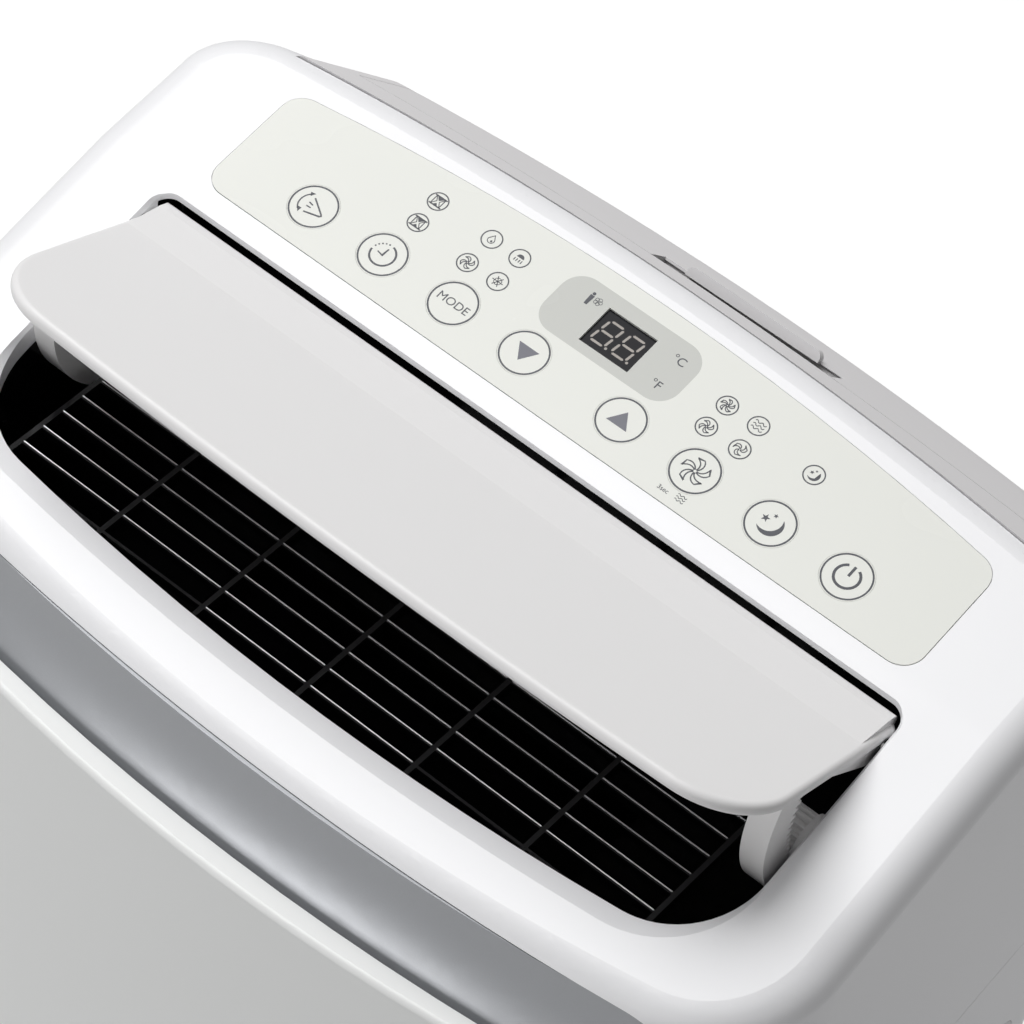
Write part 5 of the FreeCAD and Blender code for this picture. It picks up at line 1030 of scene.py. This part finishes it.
@dataclass
class RearScrews:
    """Pan-head screws along the two rear covers; a row is a count, a spacing and a first x."""

    low_row: tuple[int, float, float] = (4, 126.0 * MM, -189.0 * MM)
    middle_row: tuple[int, float, float] = (3, 62.0 * MM, 42.0 * MM)
    high_row: tuple[int, float, float] = (4, 110.0 * MM, -165.0 * MM)
    low_rise: float = 13.0 * MM
    middle_drop: float = 12.0 * MM
    high_rise: float = 20.0 * MM
    head_radius: float = 3.6 * MM
    head_height: float = 0.9 * MM
    recess: float = 0.6 * MM
    recess_arm: float = 2.1 * MM
    recess_width: float = 0.7 * MM
    bow: float = 1.6
    segments: int = 20
    profile: tuple[Point, ...] = ((1.0, -0.4), (1.0, 0.35), (0.82, 0.8), (0.62, 1.0))

    def build(self) -> None:
        """Grow three rows of screws and let them ride on the casing."""
        head = self._head()
        tree = self._tree()
        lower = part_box("rear_lower_cover")
        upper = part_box("rear_cover")
        rows = [("lower_cover_screws", self.low_row, lower[0].z + self.low_rise),
                ("lower_cover_top_screws", self.middle_row, lower[1].z - self.middle_drop),
                ("upper_cover_screws", self.high_row, upper[0].z + self.high_rise)]
        for name, (count, spacing, first), height in rows:
            values = {"Count": count, "Spacing": spacing, "First": first, "Height": height,
                      "Rear": upper[1].y, "Bow": 2 * self.bow, "Head": head}
            piece(name, grown_mesh(name, tree, values), ZINC_STEEL, ROOT)
        bpy.data.objects.remove(head)

    def _head(self) -> bpy.types.Object:
        """Screw head with a cross recess, its axis along +Y and its seat at y = 0.

        Returns:
            The unlinked object.
        """
        work = bmesh.new()
        rings = []
        for share, height in self.profile:
            radius, rise = self.head_radius * share, self.head_height * height
            rings.append([work.verts.new((radius * math.cos(a), rise, radius * math.sin(a)))
                          for a in (2 * math.pi * i / self.segments
                                    for i in range(self.segments))])
        for low, high in zip(rings, rings[1:]):
            for i in range(self.segments):
                j = (i + 1) % self.segments
                work.faces.new([low[i], low[j], high[j], high[i]])
        work.faces.new(rings[0])
        work.faces.new(rings[-1])
        a, w, top = self.recess_arm, self.recess_width / 2, self.head_height + 0.02 * MM
        cross = [(a, w), (w, w), (w, a), (-w, a), (-w, w), (-a, w), (-a, -w), (-w, -w),
                 (-w, -a), (w, -a), (w, -w), (a, -w)]
        upper = [work.verts.new((x, top, z)) for x, z in cross]
        lower = [work.verts.new((x, top - self.recess, z)) for x, z in cross]
        work.faces.new(upper)
        work.faces.new(lower)
        for i in range(len(cross)):
            j = (i + 1) % len(cross)
            work.faces.new([upper[i], upper[j], lower[j], lower[i]])
        bmesh.ops.triangulate(work, faces=[f for f in work.faces if len(f.verts) > 4])
        return bpy.data.objects.new("screw_head", mesh_from("screw_head", work))

    def _tree(self) -> bpy.types.NodeTree:
        """Geometry tree: heads along a level line that follows the bowed rear wall.

        Returns:
            The tree.
        """
        number = "NodeSocketFloat"
        tree, given, result = geometry_tree("rear_screws", {
            "Count": "NodeSocketInt", "Spacing": number, "First": number, "Height": number,
            "Rear": number, "Bow": number, "Head": "NodeSocketObject"})
        value = given.outputs
        start = add(tree, "ShaderNodeCombineXYZ", None,
                    {"X": value["First"], "Y": value["Rear"], "Z": value["Height"]})
        step = add(tree, "ShaderNodeCombineXYZ", None, {"X": value["Spacing"]})
        line = add(tree, "GeometryNodeMeshLine", None,
                   {"Count": value["Count"], "Start Location": start.outputs[0],
                    "Offset": step.outputs[0]})
        spot = add(tree, "ShaderNodeSeparateXYZ", None,
                   {0: add(tree, "GeometryNodeInputPosition").outputs[0]})
        square = add(tree, "ShaderNodeMath", {"operation": "MULTIPLY"},
                     {0: spot.outputs["X"], 1: spot.outputs["X"]})
        sag = add(tree, "ShaderNodeMath", {"operation": "DIVIDE"},
                  {0: square.outputs[0], 1: value["Bow"]})
        inward = add(tree, "ShaderNodeMath", {"operation": "MULTIPLY", 1: -1.0},
                     {0: sag.outputs[0]})
        offset = add(tree, "ShaderNodeCombineXYZ", None, {"Y": inward.outputs[0]})
        follow = add(tree, "GeometryNodeSetPosition", None,
                     {"Geometry": line.outputs[0], "Offset": offset.outputs[0]})
        head = add(tree, "GeometryNodeObjectInfo", None, {"Object": value["Head"]})
        copies = add(tree, "GeometryNodeInstanceOnPoints", None,
                     {"Points": follow.outputs[0], "Instance": head.outputs["Geometry"]})
        solid = add(tree, "GeometryNodeRealizeInstances", None, {0: copies.outputs[0]})
        dressed = add(tree, "GeometryNodeSetMaterial", {"Material": ZINC_STEEL.material()},
                      {"Geometry": solid.outputs[0]})
        tree.links.new(dressed.outputs[0], result.inputs[0])
        return tree


# ---------------------------------------------------------------- studio
@dataclass
class Studio:
    """Pale floor, soft light and the camera."""

    lens: float = 143.6
    location: Vector = field(default_factory=lambda: Vector((0.561, -0.8704, 1.9087)))
    forward: Vector = field(default_factory=lambda: Vector((-0.349, 0.5436, -0.7633)))
    upward: Vector = field(default_factory=lambda: Vector((-0.544, 0.5465, 0.6370)))
    floor_half: float = 6.0
    floor_glow: float = 0.45
    world_strength: float = 0.22
    aim: Vector = field(default_factory=lambda: Vector((0, 0, 0.6)))
    softboxes: tuple[tuple[str, Point3, float, float], ...] = (
        ("overhead_softbox", (-1.3, 0.1, 3.6), 2.2, 85.0),
        ("low_front_softbox", (-0.8, -3.0, 0.5), 1.2, 17.0))

    def build(self) -> None:
        """Make everything round the object."""
        bpy.context.scene.view_settings.view_transform = "Standard"
        self._floor()
        self._world()
        for name, place, size, power in self.softboxes:
            self._softbox(name, Vector(place), size, power)
        self._camera()

    def _floor(self) -> None:
        """Level floor at the casters' feet."""
        half = self.floor_half
        mesh = bpy.data.meshes.new("studio_floor")
        mesh.from_pydata([(-half, -half, 0), (half, -half, 0), (half, half, 0),
                          (-half, half, 0)], [], [(0, 1, 2, 3)])
        floor = bpy.data.objects.new("studio_floor", mesh)
        bpy.context.scene.collection.objects.link(floor)
        paper = bpy.data.materials.new("white_paper")
        paper.use_nodes = True
        tree = paper.node_tree
        shader = tree.nodes["Principled BSDF"]
        shader.inputs["Base Color"].default_value = linear("E6E6E6")
        shader.inputs["Roughness"].default_value = 0.9
        shader.inputs["Emission Color"].default_value = linear("FFFFFF")
        seen = add(tree, "ShaderNodeMath", {"operation": "MULTIPLY", 1: self.floor_glow},
                   {0: add(tree, "ShaderNodeLightPath").outputs["Is Camera Ray"]})
        tree.links.new(seen.outputs[0], shader.inputs["Emission Strength"])
        mesh.materials.append(paper)

    def _world(self) -> None:
        """Even white surroundings."""
        world = bpy.data.worlds.new("studio_world")
        world.use_nodes = True
        background = world.node_tree.nodes["Background"]
        background.inputs["Color"].default_value = linear("FFFFFF")
        background.inputs["Strength"].default_value = self.world_strength
        bpy.context.scene.world = world

    def _softbox(self, name: str, place: Vector, size: float, power: float) -> None:
        """Square area light that faces the object.

        Args:
            name: light name.
            place: its position.
            size: side length.
            power: output in watts.
        """
        light = bpy.data.lights.new(name, "AREA")
        light.size = size
        light.energy = power
        lamp = bpy.data.objects.new(name, light)
        lamp.location = place
        lamp.rotation_euler = (self.aim - place).to_track_quat("-Z", "Y").to_euler()
        bpy.context.scene.collection.objects.link(lamp)

    def _camera(self) -> None:
        """Long-lens camera above the front right corner, rolled to the left."""
        data = bpy.data.cameras.new("camera")
        data.lens = self.lens
        camera = bpy.data.objects.new("camera", data)
        forward = self.forward.normalized()
        right = forward.cross(self.upward).normalized()
        up = right.cross(forward)
        turn = Matrix((right, up, -forward)).transposed().to_4x4()
        camera.matrix_world = Matrix.Translation(self.location) @ turn
        bpy.context.scene.collection.objects.link(camera)
        bpy.context.scene.camera = camera


def corners(box: Sequence[Vector]) -> list[list[float]]:
    """A box's two corners as plain lists."""
    return [list(corner) for corner in box]


def main() -> None:
    """Load the model, dress it, add the pieces and light it."""
    logging.basicConfig(level=logging.INFO, format="%(name)s: %(message)s")
    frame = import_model()
    dress_nodes(frame)
    Studio().build()
    for assembly in (ControlDeck(), OutletGrille(), RearScrews()):
        LOG.info("building %s", type(assembly).__name__)
        assembly.build()


if __name__ == "__main__":
    main()
